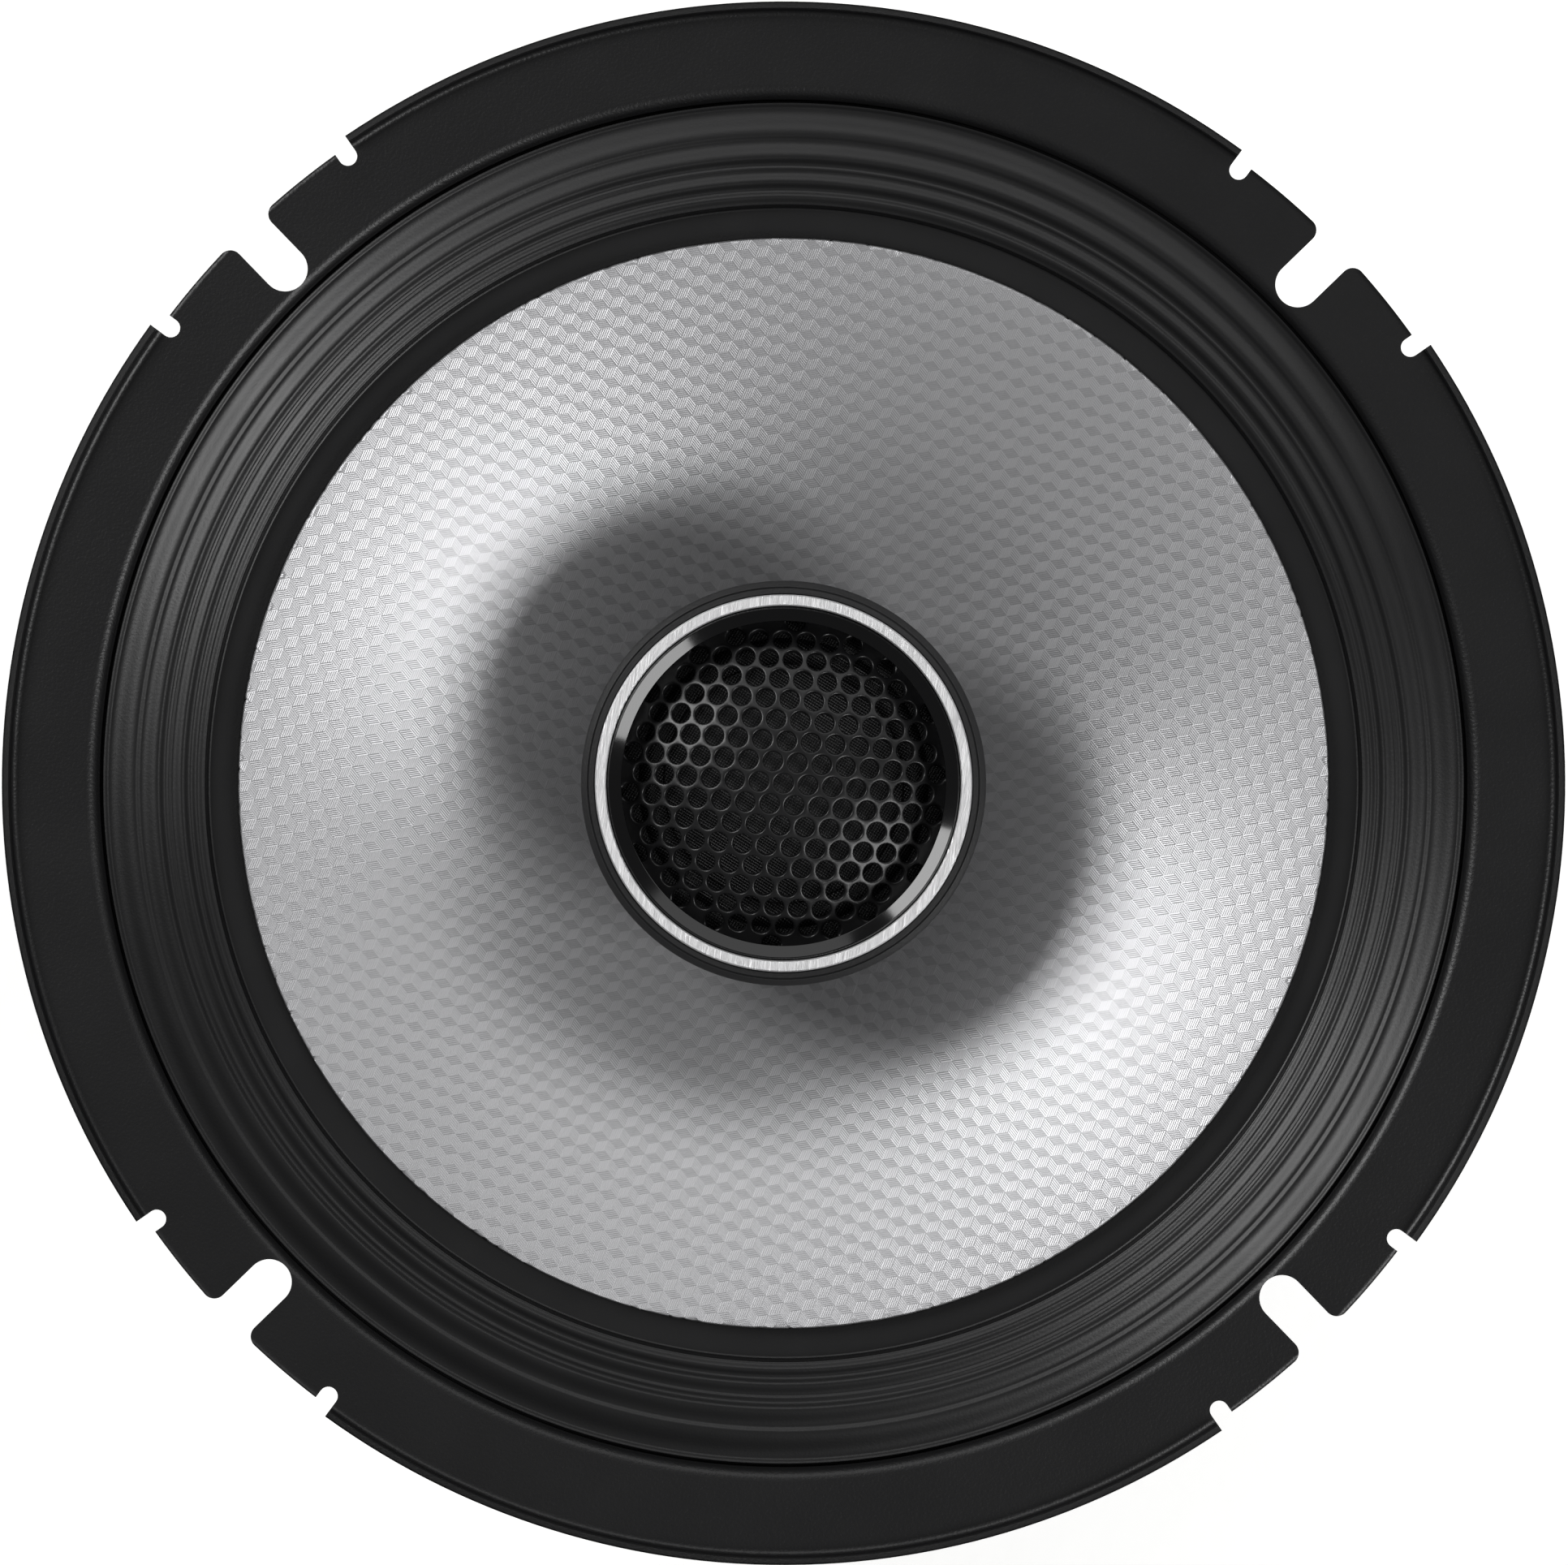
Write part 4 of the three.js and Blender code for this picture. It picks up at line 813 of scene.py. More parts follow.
spider_r = span("spider")[0]
spider_front = SPIDER_LEDGE_Z + SPIDER_T
collar_r = former_r + 0.1
wave_start = collar_r + SPIDER_COLLAR
spider_line = rounded(
    [(collar_r, spider_front + 0.9), (collar_r, spider_front, 0.4), (wave_start - 0.2, spider_front)]
)
wave_steps = SPIDER_WAVES * 2 * POINTS_IN_HALF_WAVE
for k in range(wave_steps + 1):
    share = k / wave_steps
    height = spider_front + SPIDER_WAVE * math.sin(share * SPIDER_WAVES * 2 * math.pi)
    spider_line.append((wave_start + (SPIDER_WAVE_END - wave_start) * share, height))
spider_line += [(SPIDER_WAVE_END + 0.6, spider_front), (spider_r, spider_front)]
spider = turned("corrugated_spider", sheet_section(spider_line, SPIDER_T), resin_cloth, 180)
bend_between(spider, "cone_assembly", wave_start, SPIDER_WAVE_END)
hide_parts("spider")

# ---------------------------------------------------------------- cone
# Glass yarns woven three ways, so that rhombic floats make a pattern of tumbling blocks, metal
# coated and pressed with resin into a shallow flare. The neck is glued to the former.

WEAVE_PITCH = 2.07
WEAVE_LEAN = -21.0  # degrees
WEAVE_CROWN = 0.015
MOTTLE_SIZE = 0.5
WEAVE_T = 0.5
WEAVE_SINK = 0.06  # its flat parts lie this far below the cone's edge
CELLS_ACROSS = 93
YARN_STRANDS = 5  # drawn for each float; the real yarn has hundreds of filaments
CONE_STRAIGHT = 0.62
CONE_EDGE = 0.5
SLIVER = 0.03  # square millimetres of cloth trimmed off at the edge
NECK_HEIGHT = 2.2

cone_r, neck_low, cone_rim_z = span("cone")
neck_r = former_r + 0.1
neck_top = neck_low + NECK_HEIGHT


def cone_height(radius):
    """The height of the cone's face at a radius."""
    inward = (cone_r - radius) / (cone_r - neck_r)
    share = CONE_STRAIGHT * inward + (1 - CONE_STRAIGHT) * inward**2
    return cone_rim_z - (cone_rim_z - neck_top) * share


# Metal-coated glass yarn under clear resin. Its filaments spread light across themselves, so the three ways
# of the weave turn bright and dark by turns as the light moves.
# Each way is also given its own grey, a painted sheen that stands in for that play of light.
silver_weave = surface("metal_coated_glass_weave", "#c1c1c3", 0.40, metallic=0.7, anisotropic=0.4)
tree, shader, place = opened(silver_weave)
yarn = add(tree, "ShaderNodeUVMap", uv_map="UVMap")
tangent = add(tree, "ShaderNodeTangent", direction_type="UV_MAP", uv_map="UVMap")
feed(tree, shader, {"Tangent": tangent})
across = add(tree, "ShaderNodeSeparateXYZ", {"Vector": yarn})
way = add(tree, "ShaderNodeMath", {0: across.outputs["X"], 1: 2.0}, operation="DIVIDE")
way_number = add(tree, "ShaderNodeMath", {0: way}, operation="FLOOR")
# Painted sheen: the way number lightens the grey step by step, standing in for the lamps' reflection along
# each way's filaments.
painted_sheen_by_way = add(
    tree, "ShaderNodeMapRange", {"Value": way_number, "From Max": 2.0, "To Min": 0.0, "To Max": 1.0}
)
mottle = add(tree, "ShaderNodeTexNoise", {"Vector": place, "Scale": 1 / (MOTTLE_SIZE * MM)})
mixed = add(tree, "ShaderNodeMath", {0: mottle, 1: 0.5, 2: painted_sheen_by_way}, operation="MULTIPLY_ADD")
# The colour holds random mottle and the painted sheen of each way.
vary(silver_weave, mixed, colour=("#adadaf", "#c6c6c8"))
vary(silver_weave, ridges(tree, across.outputs["Y"], YARN_STRANDS * math.pi), relief=0.012)


def radius_of(tree):
    """Each point's position, that position without its height, and its distance from the axis."""
    here = add(tree, "GeometryNodeInputPosition")
    flat = add(tree, "ShaderNodeVectorMath", {0: here, 1: (1, 1, 0)}, operation="MULTIPLY")
    length = add(tree, "ShaderNodeVectorMath", {0: flat}, operation="LENGTH")
    return here, flat, length


def hexagonal_points(tree, given, keep_inside):
    """Points of a triangular lattice, turned by the lean, inside a radius."""
    sides = ("Size X", "Size Y", "Vertices X", "Vertices Y")
    grid = add(tree, "GeometryNodeMeshGrid", dict.fromkeys(sides, given["Across"]))
    # A grid of n points spans n, so its step is n / (n - 1) and is taken back here.
    steps = add(tree, "ShaderNodeMath", {0: given["Across"], 1: 1.0}, operation="SUBTRACT")
    shrink = add(tree, "ShaderNodeMath", {0: steps, 1: given["Across"]}, operation="DIVIDE")
    step = add(tree, "ShaderNodeMath", {0: shrink, 1: given["Pitch"]}, operation="MULTIPLY")
    here = add(tree, "GeometryNodeInputPosition")
    scaled = add(tree, "ShaderNodeVectorMath", {0: here, "Scale": step}, operation="SCALE")
    split = add(tree, "ShaderNodeSeparateXYZ", {"Vector": scaled})
    sheared = add(
        tree, "ShaderNodeMath", {0: split.outputs["Y"], 1: 0.5, 2: split.outputs["X"]},
        operation="MULTIPLY_ADD"
    )
    rows = add(tree, "ShaderNodeMath", {0: split.outputs["Y"], 1: math.sqrt(3) / 2}, operation="MULTIPLY")
    lattice = add(tree, "ShaderNodeCombineXYZ", {"X": sheared, "Y": rows})
    leaning = add(
        tree, "ShaderNodeVectorRotate", {"Vector": lattice, "Angle": given["Lean"]},
        rotation_type="Z_AXIS"
    )
    moved = add(tree, "GeometryNodeSetPosition", {"Geometry": grid, "Position": leaning})
    _, _, radius = radius_of(tree)
    outside = add(tree, "ShaderNodeMath", {0: radius, 1: keep_inside}, operation="GREATER_THAN")
    return add(
        tree, "GeometryNodeDeleteGeometry", {"Geometry": moved, "Selection": outside}, domain="POINT"
    )


def trimmed(tree, geometry, low, high):
    """Merges what touches, drops faces wholly outside two radii, and pulls the rest to them."""
    marked = add(tree, "GeometryNodeMergeByDistance", {"Geometry": geometry, "Distance": 0.02 * MM})
    _, _, radius = radius_of(tree)
    beyond = add(tree, "ShaderNodeMath", {0: radius, 1: high}, operation="GREATER_THAN")
    within = add(tree, "ShaderNodeMath", {0: radius, 1: low}, operation="LESS_THAN")
    for name, test in (("beyond", beyond), ("within", within)):
        marked = add(
            tree, "GeometryNodeStoreNamedAttribute", {"Geometry": marked, "Name": name, "Value": test},
            data_type="FLOAT", domain="POINT"
        )
    selections = []
    for name in ("beyond", "within"):
        share = add(tree, "GeometryNodeInputNamedAttribute", {"Name": name}, data_type="FLOAT")
        selections.append(add(tree, "ShaderNodeMath", {0: share, 1: 0.999}, operation="GREATER_THAN"))
    either = add(tree, "ShaderNodeMath", dict(enumerate(selections)), operation="MAXIMUM")
    kept = add(
        tree, "GeometryNodeDeleteGeometry", {"Geometry": marked, "Selection": either}, domain="FACE"
    )
    for name in ("beyond", "within"):
        kept = add(tree, "GeometryNodeRemoveAttribute", {"Geometry": kept, "Name": name})
    here, flat, radius = radius_of(tree)
    held = add(tree, "ShaderNodeClamp", {"Value": radius, "Min": low, "Max": high})
    ratio = add(tree, "ShaderNodeMath", {0: held, 1: radius}, operation="DIVIDE")
    pulled = add(tree, "ShaderNodeVectorMath", {0: flat, "Scale": ratio}, operation="SCALE")
    height = add(tree, "ShaderNodeSeparateXYZ", {"Vector": here})
    place = add(tree, "ShaderNodeSeparateXYZ", {"Vector": pulled})
    whole = add(
        tree, "ShaderNodeCombineXYZ",
        {"X": place.outputs["X"], "Y": place.outputs["Y"], "Z": height.outputs["Z"]}
    )
    return add(tree, "GeometryNodeSetPosition", {"Geometry": kept, "Position": whole})


# One cell of the weave: three rhombic floats round a lattice point, each with its filaments
# running along one pair of its sides. U runs along them, with 2 added for each next way.
side = WEAVE_PITCH / math.sqrt(3)
vertices, faces, uvs = [], [], []
for turn_number in range(3):
    ways = (math.radians(120 * turn_number + lead) for lead in (30, 150))
    first, second = (np.array([math.cos(a), math.sin(a)]) * side for a in ways)
    base = len(vertices)
    for j in range(3):
        for i in range(3):
            u, v = i / 2, j / 2
            x, y = u * first + v * second
            crown = WEAVE_CROWN if (i, j) == (1, 1) else 0.0
            vertices.append((x, y, crown))
            uvs.append((u * 0.98 + 0.01 + 2 * turn_number, v))
    for j in range(2):
        for i in range(2):
            k = base + 3 * j + i
            faces.append((k, k + 1, k + 4, k + 3))
cell = mesh_piece("weave_cell", vertices, faces, silver_weave)
uv_layer = cell.data.uv_layers.new(name="UVMap")
for loop in cell.data.loops:
    uv_layer.data[loop.index].uv = uvs[loop.vertex_index]
attributes = cell.data.attributes
sharp = attributes.get("sharp_edge") or attributes.new("sharp_edge", "BOOLEAN", "EDGE")
for edge in cell.data.edges:
    ends = [cell.data.vertices[k].co.z for k in edge.vertices]
    sharp.data[edge.index].value = max(ends) < 1e-9

weaving, given = new_tree(
    "weave_on_the_cone",
    {
        "Cell": "Object", "Across": "Int", "Pitch": "Float", "Lean": "Float", "Rim radius": "Float",
        "Neck radius": "Float", "Rim height": "Float", "Drop": "Float", "Straight": "Float"
    }
)
reach = add(weaving, "ShaderNodeMath", {0: given["Rim radius"], 1: given["Pitch"]}, operation="ADD")
points = hexagonal_points(weaving, given, reach)
cells = set_on(weaving, points, given["Cell"], given["Lean"])
real = add(weaving, "GeometryNodeRealizeInstances", {"Geometry": cells})
sheet = trimmed(weaving, real, given["Neck radius"], given["Rim radius"])
_, _, radius = radius_of(weaving)
inward = add(
    weaving, "ShaderNodeMapRange",
    {"Value": radius, "From Min": given["Rim radius"], "From Max": given["Neck radius"]}
)
flare = add(weaving, "ShaderNodeMath", {0: 1.0, 1: given["Straight"]}, operation="SUBTRACT")
slope = add(
    weaving, "ShaderNodeMath", {0: flare, 1: inward, 2: given["Straight"]}, operation="MULTIPLY_ADD"
)
share = add(weaving, "ShaderNodeMath", {0: slope, 1: inward}, operation="MULTIPLY")
down = add(weaving, "ShaderNodeMath", {0: share, 1: given["Drop"]}, operation="MULTIPLY")
height = add(weaving, "ShaderNodeMath", {0: given["Rim height"], 1: down}, operation="SUBTRACT")
offset = add(weaving, "ShaderNodeCombineXYZ", {"Z": height})
pressed = add(weaving, "GeometryNodeSetPosition", {"Geometry": sheet, "Offset": offset})
close_tree(weaving, pressed, given["Material"])

sizes = {
    "Cell": cell, "Across": CELLS_ACROSS, "Pitch": WEAVE_PITCH * MM, "Lean": math.radians(WEAVE_LEAN),
    "Rim radius": cone_r * MM, "Neck radius": neck_r * MM,
    "Rim height": cone_rim_z * MM - WEAVE_SINK * MM, "Drop": (cone_rim_z - neck_top) * MM,
    "Straight": CONE_STRAIGHT
}
cone = grow("woven_cone", weaving, sizes, silver_weave)
bpy.data.objects.remove(cell)
work = bmesh.new()
work.from_mesh(cone.data)
slivers = [face for face in work.faces if face.calc_area() < SLIVER * MM * MM]
bmesh.ops.delete(work, geom=slivers, context="FACES")
work.to_mesh(cone.data)
work.free()
thick = cone.modifiers.new("wall", "SOLIDIFY")
thick.thickness = WEAVE_T * MM
thick.offset = -1
thick.use_even_offset = False
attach(cone, "cone_assembly")
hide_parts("cone")

# The pressed edge of the cone, trimmed and bright, and the neck that is glued to the former.
edge_inner = cone_r - CONE_EDGE
edge_corners = [
    (edge_inner, cone_height(edge_inner) - 0.55), (cone_r, cone_rim_z - 0.6), (cone_r, cone_rim_z, 0.12),
    (edge_inner, cone_height(edge_inner) + 0.02, 0.05)
]
edge = turned("cone_edge", edge_corners, silver_weave, 288)
neck_line = rounded(
    [(neck_r, neck_low), (neck_r, neck_top, 0.6), (neck_r + 1.6, cone_height(neck_r + 1.6))]
)
neck = turned("cone_neck", sheet_section(neck_line, WEAVE_T), silver_weave, 96)
for ring_piece in (edge, neck):
    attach(ring_piece, "cone_assembly")

# ---------------------------------------------------------------- surround
# Moulded butyl rubber: a flat land glued under the cone's edge, fine ribs, one broad outer roll,
# and an outer land with a bead, glued in the basket's recess.

SURROUND_T = 0.7
SURROUND_LAP = 2.8
RECESS_GAP = 0.15
RUBBER_GRAIN = 0.28
# Crests and valleys of the ribs: radius, and height above the flat band. Each crest's outer flank
# is longer than its inner one.
RIBS = [
    (61.0, 0.0), (61.15, 0.05), (61.6, 1.35), (62.4, 1.70), (63.1, 1.42), (64.0, 1.95), (65.05, 1.62),
    (65.4, 1.76), (65.7, 1.68), (66.6, 2.20), (68.35, 1.68), (69.0, 1.92), (71.75, 1.05), (72.35, 1.35)
]

# Butyl rubber, moulded in a blasted tool: charcoal rather than black, with a soft sheen on every
# crest and a fine dry grain.
rubber = surface("butyl_rubber", "#0d0d0e", 0.38)
vary(rubber, {"Scale": 110.0, "Detail": 3.0}, roughness=(0.34, 0.44))
vary(rubber, {"Scale": 1 / (RUBBER_GRAIN * MM), "Detail": 2.0}, relief=0.012)


def eased(stops, steps=8):
    """A line through crests and valleys, level at each of them."""
    line = [stops[0]]
    for (r0, z0), (r1, z1) in zip(stops, stops[1:]):
        for k in range(1, steps + 1):
            share = k / steps
            rise = (1 - math.cos(math.pi * share)) / 2
            line.append((r0 + (r1 - r0) * share, z0 + (z1 - z0) * rise))
    return line


lap_r = cone_r - SURROUND_LAP
land_z = cone_rim_z - 0.9
ribs = eased([(r, land_z + rise) for r, rise in RIBS])
surround_line = [
    (lap_r, cone_height(lap_r) - 0.8), (cone_r - 0.4, cone_height(cone_r - 0.4) - 0.82),
    (cone_r + 0.3, land_z), *ribs, (RECESS_R - RECESS_GAP, ledge_z + SURROUND_T + 0.1)
]
surround = turned("ribbed_surround", sheet_section(surround_line, SURROUND_T), rubber, 288)
bend_between(surround, "cone_assembly", cone_r + 0.6, RECESS_R - 1.2)
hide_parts("surround")

# ---------------------------------------------------------------- terminals and crossover
# A phenolic board riveted to the rear of one leg, with a wide positive and a narrow negative
# push-on blade, and the capacitor that keeps low notes out of the tweeter, tied across the leg.

BLADE_X = 5.6
BLADE_T = 0.8
BLADE_FOOT = 4.5
BLADE_TIP = 13.0
BLADE_HOLE_R = 0.7
BOARD_SIZE = (20.0, 12.0, 1.6)
RIVET_Y = 3.2
LEAD_HOLE_Y = -4.0
BOARD_RIVET_R = 1.0
RIVET_HEAD_R = 1.7
CAPACITOR_R = 4.0

board_low, board_high = (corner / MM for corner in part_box("terminal_board"))
board_middle = (board_low + board_high) / 2
c, s = math.cos(leg_slope), math.sin(leg_slope)
leg_axes = Matrix(((1, 0, 0), (0, -c, -s), (0, s, -c)))


def on_leg(x, y, z):
    """A point of the board's own frame: X across the leg, Y up its slope, Z out of its rear."""
    return board_middle + leg_axes @ Vector((x, y, z))


def leg_piece(name, vertices, faces, material, node, slot_name, holes=(), bevel=0.0):
    """A piece made in the board's frame, with round holes of (x, y, radius), set on the leg."""
    piece = mesh_piece(name, vertices, faces, material)
    if holes:
        low, high = min(v[2] for v in vertices) - 1, max(v[2] for v in vertices) + 1
        cut(piece, [cutter(f"{name}_hole", arc(h[:2], h[2], 0, 345, 23), low, high) for h in holes])
    piece.data.transform(Matrix.Translation(board_middle * MM) @ leg_axes.to_4x4())
    if bevel:
        edges = piece.modifiers.new("edges", "BEVEL")
        edges.width = bevel * MM
        edges.segments = 2
        edges.limit_method = "ANGLE"
        edges.harden_normals = False
    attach(piece, "frame")
    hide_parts(node)
    return piece


# Paper phenolic: brown, dense and slightly waxy, with the paper's fibres just showing.
phenolic = surface("paper_phenolic", "#6a4526", 0.48)
vary(
    phenolic, {"Scale": 900.0, "Detail": 5.0, "Distortion": 1.5}, colour=("#54341a", "#7f5834"),
    relief=0.03
)

# Tin plate on brass: a soft grey-white metal with faint drawing lines and duller patches.
tinned = surface("tinned_brass", "#c9c6bb", 0.3, metallic=1.0)
tree, shader, place = opened(tinned)
drawn = add(tree, "ShaderNodeMapping", {"Vector": place, "Scale": (4000, 300, 300)})
lines = add(tree, "ShaderNodeTexNoise", {"Vector": drawn, "Scale": 1.0, "Detail": 3.0})
vary(tinned, lines, roughness=(0.22, 0.42), relief=0.02)

# Heat-shrunk polyester sleeve: dark blue and glossy, with slight wrinkles round the ends.
sleeve = surface("polyester_sleeve", "#22385c", 0.22)
vary(
    sleeve, {"Scale": 500.0, "Detail": 2.0, "Distortion": 0.8}, relief=0.12, colour=("#1c3052", "#2a4570")
)

width, height, depth = BOARD_SIZE
board_outline = []
for quarter, (x, y) in enumerate(((1, 1), (-1, 1), (-1, -1), (1, -1))):
    middle = (x * (width / 2 - 1), y * (height / 2 - 1))
    board_outline += arc(middle, 1, 90 * quarter, 90 * quarter + 90, 5)
holes = [(0, RIVET_Y, 1.3), (0, -RIVET_Y, 1.3), (BLADE_X, LEAD_HOLE_Y, 0.9), (-BLADE_X, LEAD_HOLE_Y, 0.9)]
leg_piece(
    "phenolic_board", *prism(board_outline, -depth / 2, depth / 2), phenolic, "terminal_board",
    "board_phenolic", holes, bevel=0.12
)

blade_low = depth / 2 + 0.3
for name, sign in (("terminal_positive", 1), ("terminal_negative", -1)):
    low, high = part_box(name)
    w = (high.x - low.x) / MM / 2
    x = sign * BLADE_X
    outline = [
        (x - w, -BLADE_FOOT), (x + w, -BLADE_FOOT), (x + w, BLADE_TIP - 1.2), (x + w - 0.7, BLADE_TIP),
        (x - w + 0.7, BLADE_TIP), (x - w, BLADE_TIP - 1.2)
    ]
    leg_piece(
        name + "_blade", *prism(outline, blade_low, blade_low + BLADE_T), tinned, name, "blade_tinned",
        [(x, 9.5, BLADE_HOLE_R)], bevel=0.1
    )

for number, y in ((1, -RIVET_Y), (2, RIVET_Y)):
    front, rear = -depth / 2 - 0.3 - 0.8 - 0.3, depth / 2 + 0.3
    corners = [
        (0, front - 0.7), (BOARD_RIVET_R, front - 0.7, 0.3), (RIVET_HEAD_R, front - 0.25, 0.2),
        (RIVET_HEAD_R, front), (BOARD_RIVET_R, front), (BOARD_RIVET_R, rear), (RIVET_HEAD_R, rear),
        (RIVET_HEAD_R, rear + 0.25, 0.2), (BOARD_RIVET_R, rear + 0.7, 0.3), (0, rear + 0.7)
    ]
    profile = rounded(corners, steps=3)
    vertices, faces = lathe(profile, 28)
    leg_piece(
        f"board_rivet_{number}", shifted(vertices, (0, y, 0)), faces, zinc_steel,
        f"terminal_rivet_{number}", "rivet_nickel"
    )

capacitor_low, capacitor_high = (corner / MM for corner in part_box("crossover_capacitor"))
half_length = (capacitor_high.x - capacitor_low.x) / 2
capacitor_middle = (capacitor_low + capacitor_high) / 2
corners = [
    (0, 0.4 - half_length), (2.7, 0.4 - half_length, 0.3), (3.2, -half_length, 0.25),
    (CAPACITOR_R, 0.5 - half_length, 0.8), (CAPACITOR_R, half_length - 0.5, 0.8),
    (3.2, half_length, 0.25), (2.7, half_length - 0.4, 0.3), (0, half_length - 0.4)
]
profile = rounded(corners, steps=4)
vertices, faces = lathe(profile, 48)
vertices = [
    (z + capacitor_middle.x, x + capacitor_middle.y, y + capacitor_middle.z) for x, y, z in vertices
]
capacitor = mesh_piece("film_capacitor", vertices, faces, sleeve)
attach(capacitor, "frame")
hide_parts("crossover_capacitor")

# Extruded insulation: a dark and a grey one, satin, with faint draw marks along the wire.
for name, colour, node in (
    ("grey_insulation", "#8b8b8d", "tweeter_lead_positive"),
    ("black_insulation", "#1a1a1b", "tweeter_lead_negative")
):
    insulation = surface(name, colour, 0.42)
    vary(insulation, {"Scale": 1500.0, "Detail": 2.0}, relief=0.02)
    coat(node, insulation)
for node in ("capacitor_lead_1", "capacitor_lead_2"):
    coat(node, tinned)

# ---------------------------------------------------------------- tinsel leads
# Fine copper foil wound on textile threads and braided, the only wire that stands being bent
# with the cone. Each runs from a blade's foot in a slack loop to the cone's neck.

TINSEL_R = 0.6
STRAND_R = 0.24
STRAND_COUNT = 5
TWISTS = 14.0
TINSEL_RINGS = 130
STRAND_SIDES = 8
JOINT_WIDTH = 4.5  # from the cone's neck to where a lead is glued
# The lead's way behind the board: share of the blade's X, distance down the leg, and distance out.
BEHIND_BOARD = [(1, 0, 1.8), (1.05, 0.6, 4.8), (1.25, 5, 6.2), (1.4, 11, 3.4)]
# Its way to the cone's neck: share of the blade's X, distance from its end, and drop below it.
TO_THE_NECK = [(1.35, 15, 1.6), (1.15, 7, 0.4), (0.9, 2, 0), (0.8, 0, 0)]

# Bare copper tinsel: a warm, slightly tarnished metal.
tinsel_copper = surface("copper_tinsel", "#b8693f", 0.38, metallic=1.0)
vary(tinsel_copper, {"Scale": 800.0, "Detail": 4.0}, colour=("#8f4d2c", "#d08457"))

twisting, given = new_tree(
    "twist_strands_round_a_path",
    {"Path": "Object", "Strands": "Int", "Twists": "Float", "Radius": "Float", "Strand radius": "Float"}
)
path = add(twisting, "GeometryNodeObjectInfo", {"Object": given["Path"]})
even = add(
    twisting, "GeometryNodeResampleCurve", {"Curve": path.outputs["Geometry"], "Count": TINSEL_RINGS}
)
along = add(twisting, "GeometryNodeSplineParameter")
full_turns = add(twisting, "ShaderNodeMath", {0: given["Twists"], 1: 2 * math.pi}, operation="MULTIPLY")
tilt = add(twisting, "ShaderNodeMath", {0: along, 1: full_turns}, operation="MULTIPLY")
tilted = add(twisting, "GeometryNodeSetCurveTilt", {"Curve": even, "Tilt": tilt})
ring_points = add(
    twisting, "GeometryNodeMeshCircle", {"Vertices": given["Strands"], "Radius": given["Radius"]}
)
strand_section = add(
    twisting, "GeometryNodeCurvePrimitiveCircle",
    {"Resolution": STRAND_SIDES, "Radius": given["Strand radius"]}
)
sections = add(
    twisting, "GeometryNodeInstanceOnPoints", {"Points": ring_points, "Instance": strand_section}
)
real_sections = add(twisting, "GeometryNodeRealizeInstances", {"Geometry": sections})
strands = add(
    twisting, "GeometryNodeCurveToMesh",
    {"Curve": tilted, "Profile Curve": real_sections, "Fill Caps": True}
)
close_tree(twisting, strands, given["Material"])

tinsel_end_r = neck_r + JOINT_WIDTH
tinsel_end_z = cone_height(tinsel_end_r) - 0.6 - TINSEL_R - 0.6
rear_face = -depth / 2 - 0.3
for name, sign in (("tinsel_lead_positive", 1), ("tinsel_lead_negative", -1)):
    x = sign * BLADE_X
    route = [on_leg(x, LEAD_HOLE_Y, blade_low - 0.3)]
    for share, down, out in BEHIND_BOARD:
        route.append(on_leg(x * share, LEAD_HOLE_Y - down, rear_face - out))
    for share, away, drop in TO_THE_NECK:
        route.append(Vector((x * share, -(tinsel_end_r + away), tinsel_end_z - drop)))
    curve = bpy.data.curves.new(name + "_route", "CURVE")
    curve.dimensions = "3D"
    spline = curve.splines.new("BEZIER")
    spline.bezier_points.add(len(route) - 1)
    for knot, point in zip(spline.bezier_points, route):
        knot.co = point * MM
        knot.handle_left_type = knot.handle_right_type = "AUTO"
    route_object = link_object(name + "_route", curve)
    sizes = {
        "Path": route_object, "Strands": STRAND_COUNT, "Twists": TWISTS,
        "Radius": (TINSEL_R - STRAND_R) * MM, "Strand radius": STRAND_R * MM
    }
    braid = grow(name + "_braid", twisting, sizes, tinsel_copper)
    bpy.data.objects.remove(route_object)
    braid.data.shade_smooth()
    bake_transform(braid, "frame", "cone_assembly", start=route[3] * MM, end=route[-3] * MM)
    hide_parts(name)

# ---------------------------------------------------------------- tweeter motor
# A small neodymium disc between a steel cup and a pole plate, under a steel face plate, with the
# dome's coil in its gap. All of it lies inside the housing.

# Bright nickel plate on sintered neodymium: a warm white mirror with faint clouds.
nickel = surface("nickel_plate", "#c8c4bb", 0.2, metallic=1.0)
vary(nickel, {"Scale": 200.0, "Detail": 3.0}, roughness=(0.14, 0.30))
for node, material in (
    ("tweeter_yoke_cup", zinc_steel), ("tweeter_pole_plate", zinc_steel),
    ("tweeter_face_plate", zinc_steel), ("tweeter_magnet", nickel), ("tweeter_voice_coil", copper)
):
    coat(node, material)

# ---------------------------------------------------------------- tweeter dome
# Silk, coated black and pressed to a dome with a half roll round it. The dome moves with its
# coil, and the roll is glued to the face plate.

SILK_PITCH = 0.42  # the real threads are about 0.1 mm apart, too fine to show
DOME_RISE = 4.0
SILK_T = 0.25
SILK_SLANT = 0.25
ROLL_RISE = 1.0
ROLL_WIDTH = 2.8
ROLL_STEPS = 16
DOME_STEPS = 24
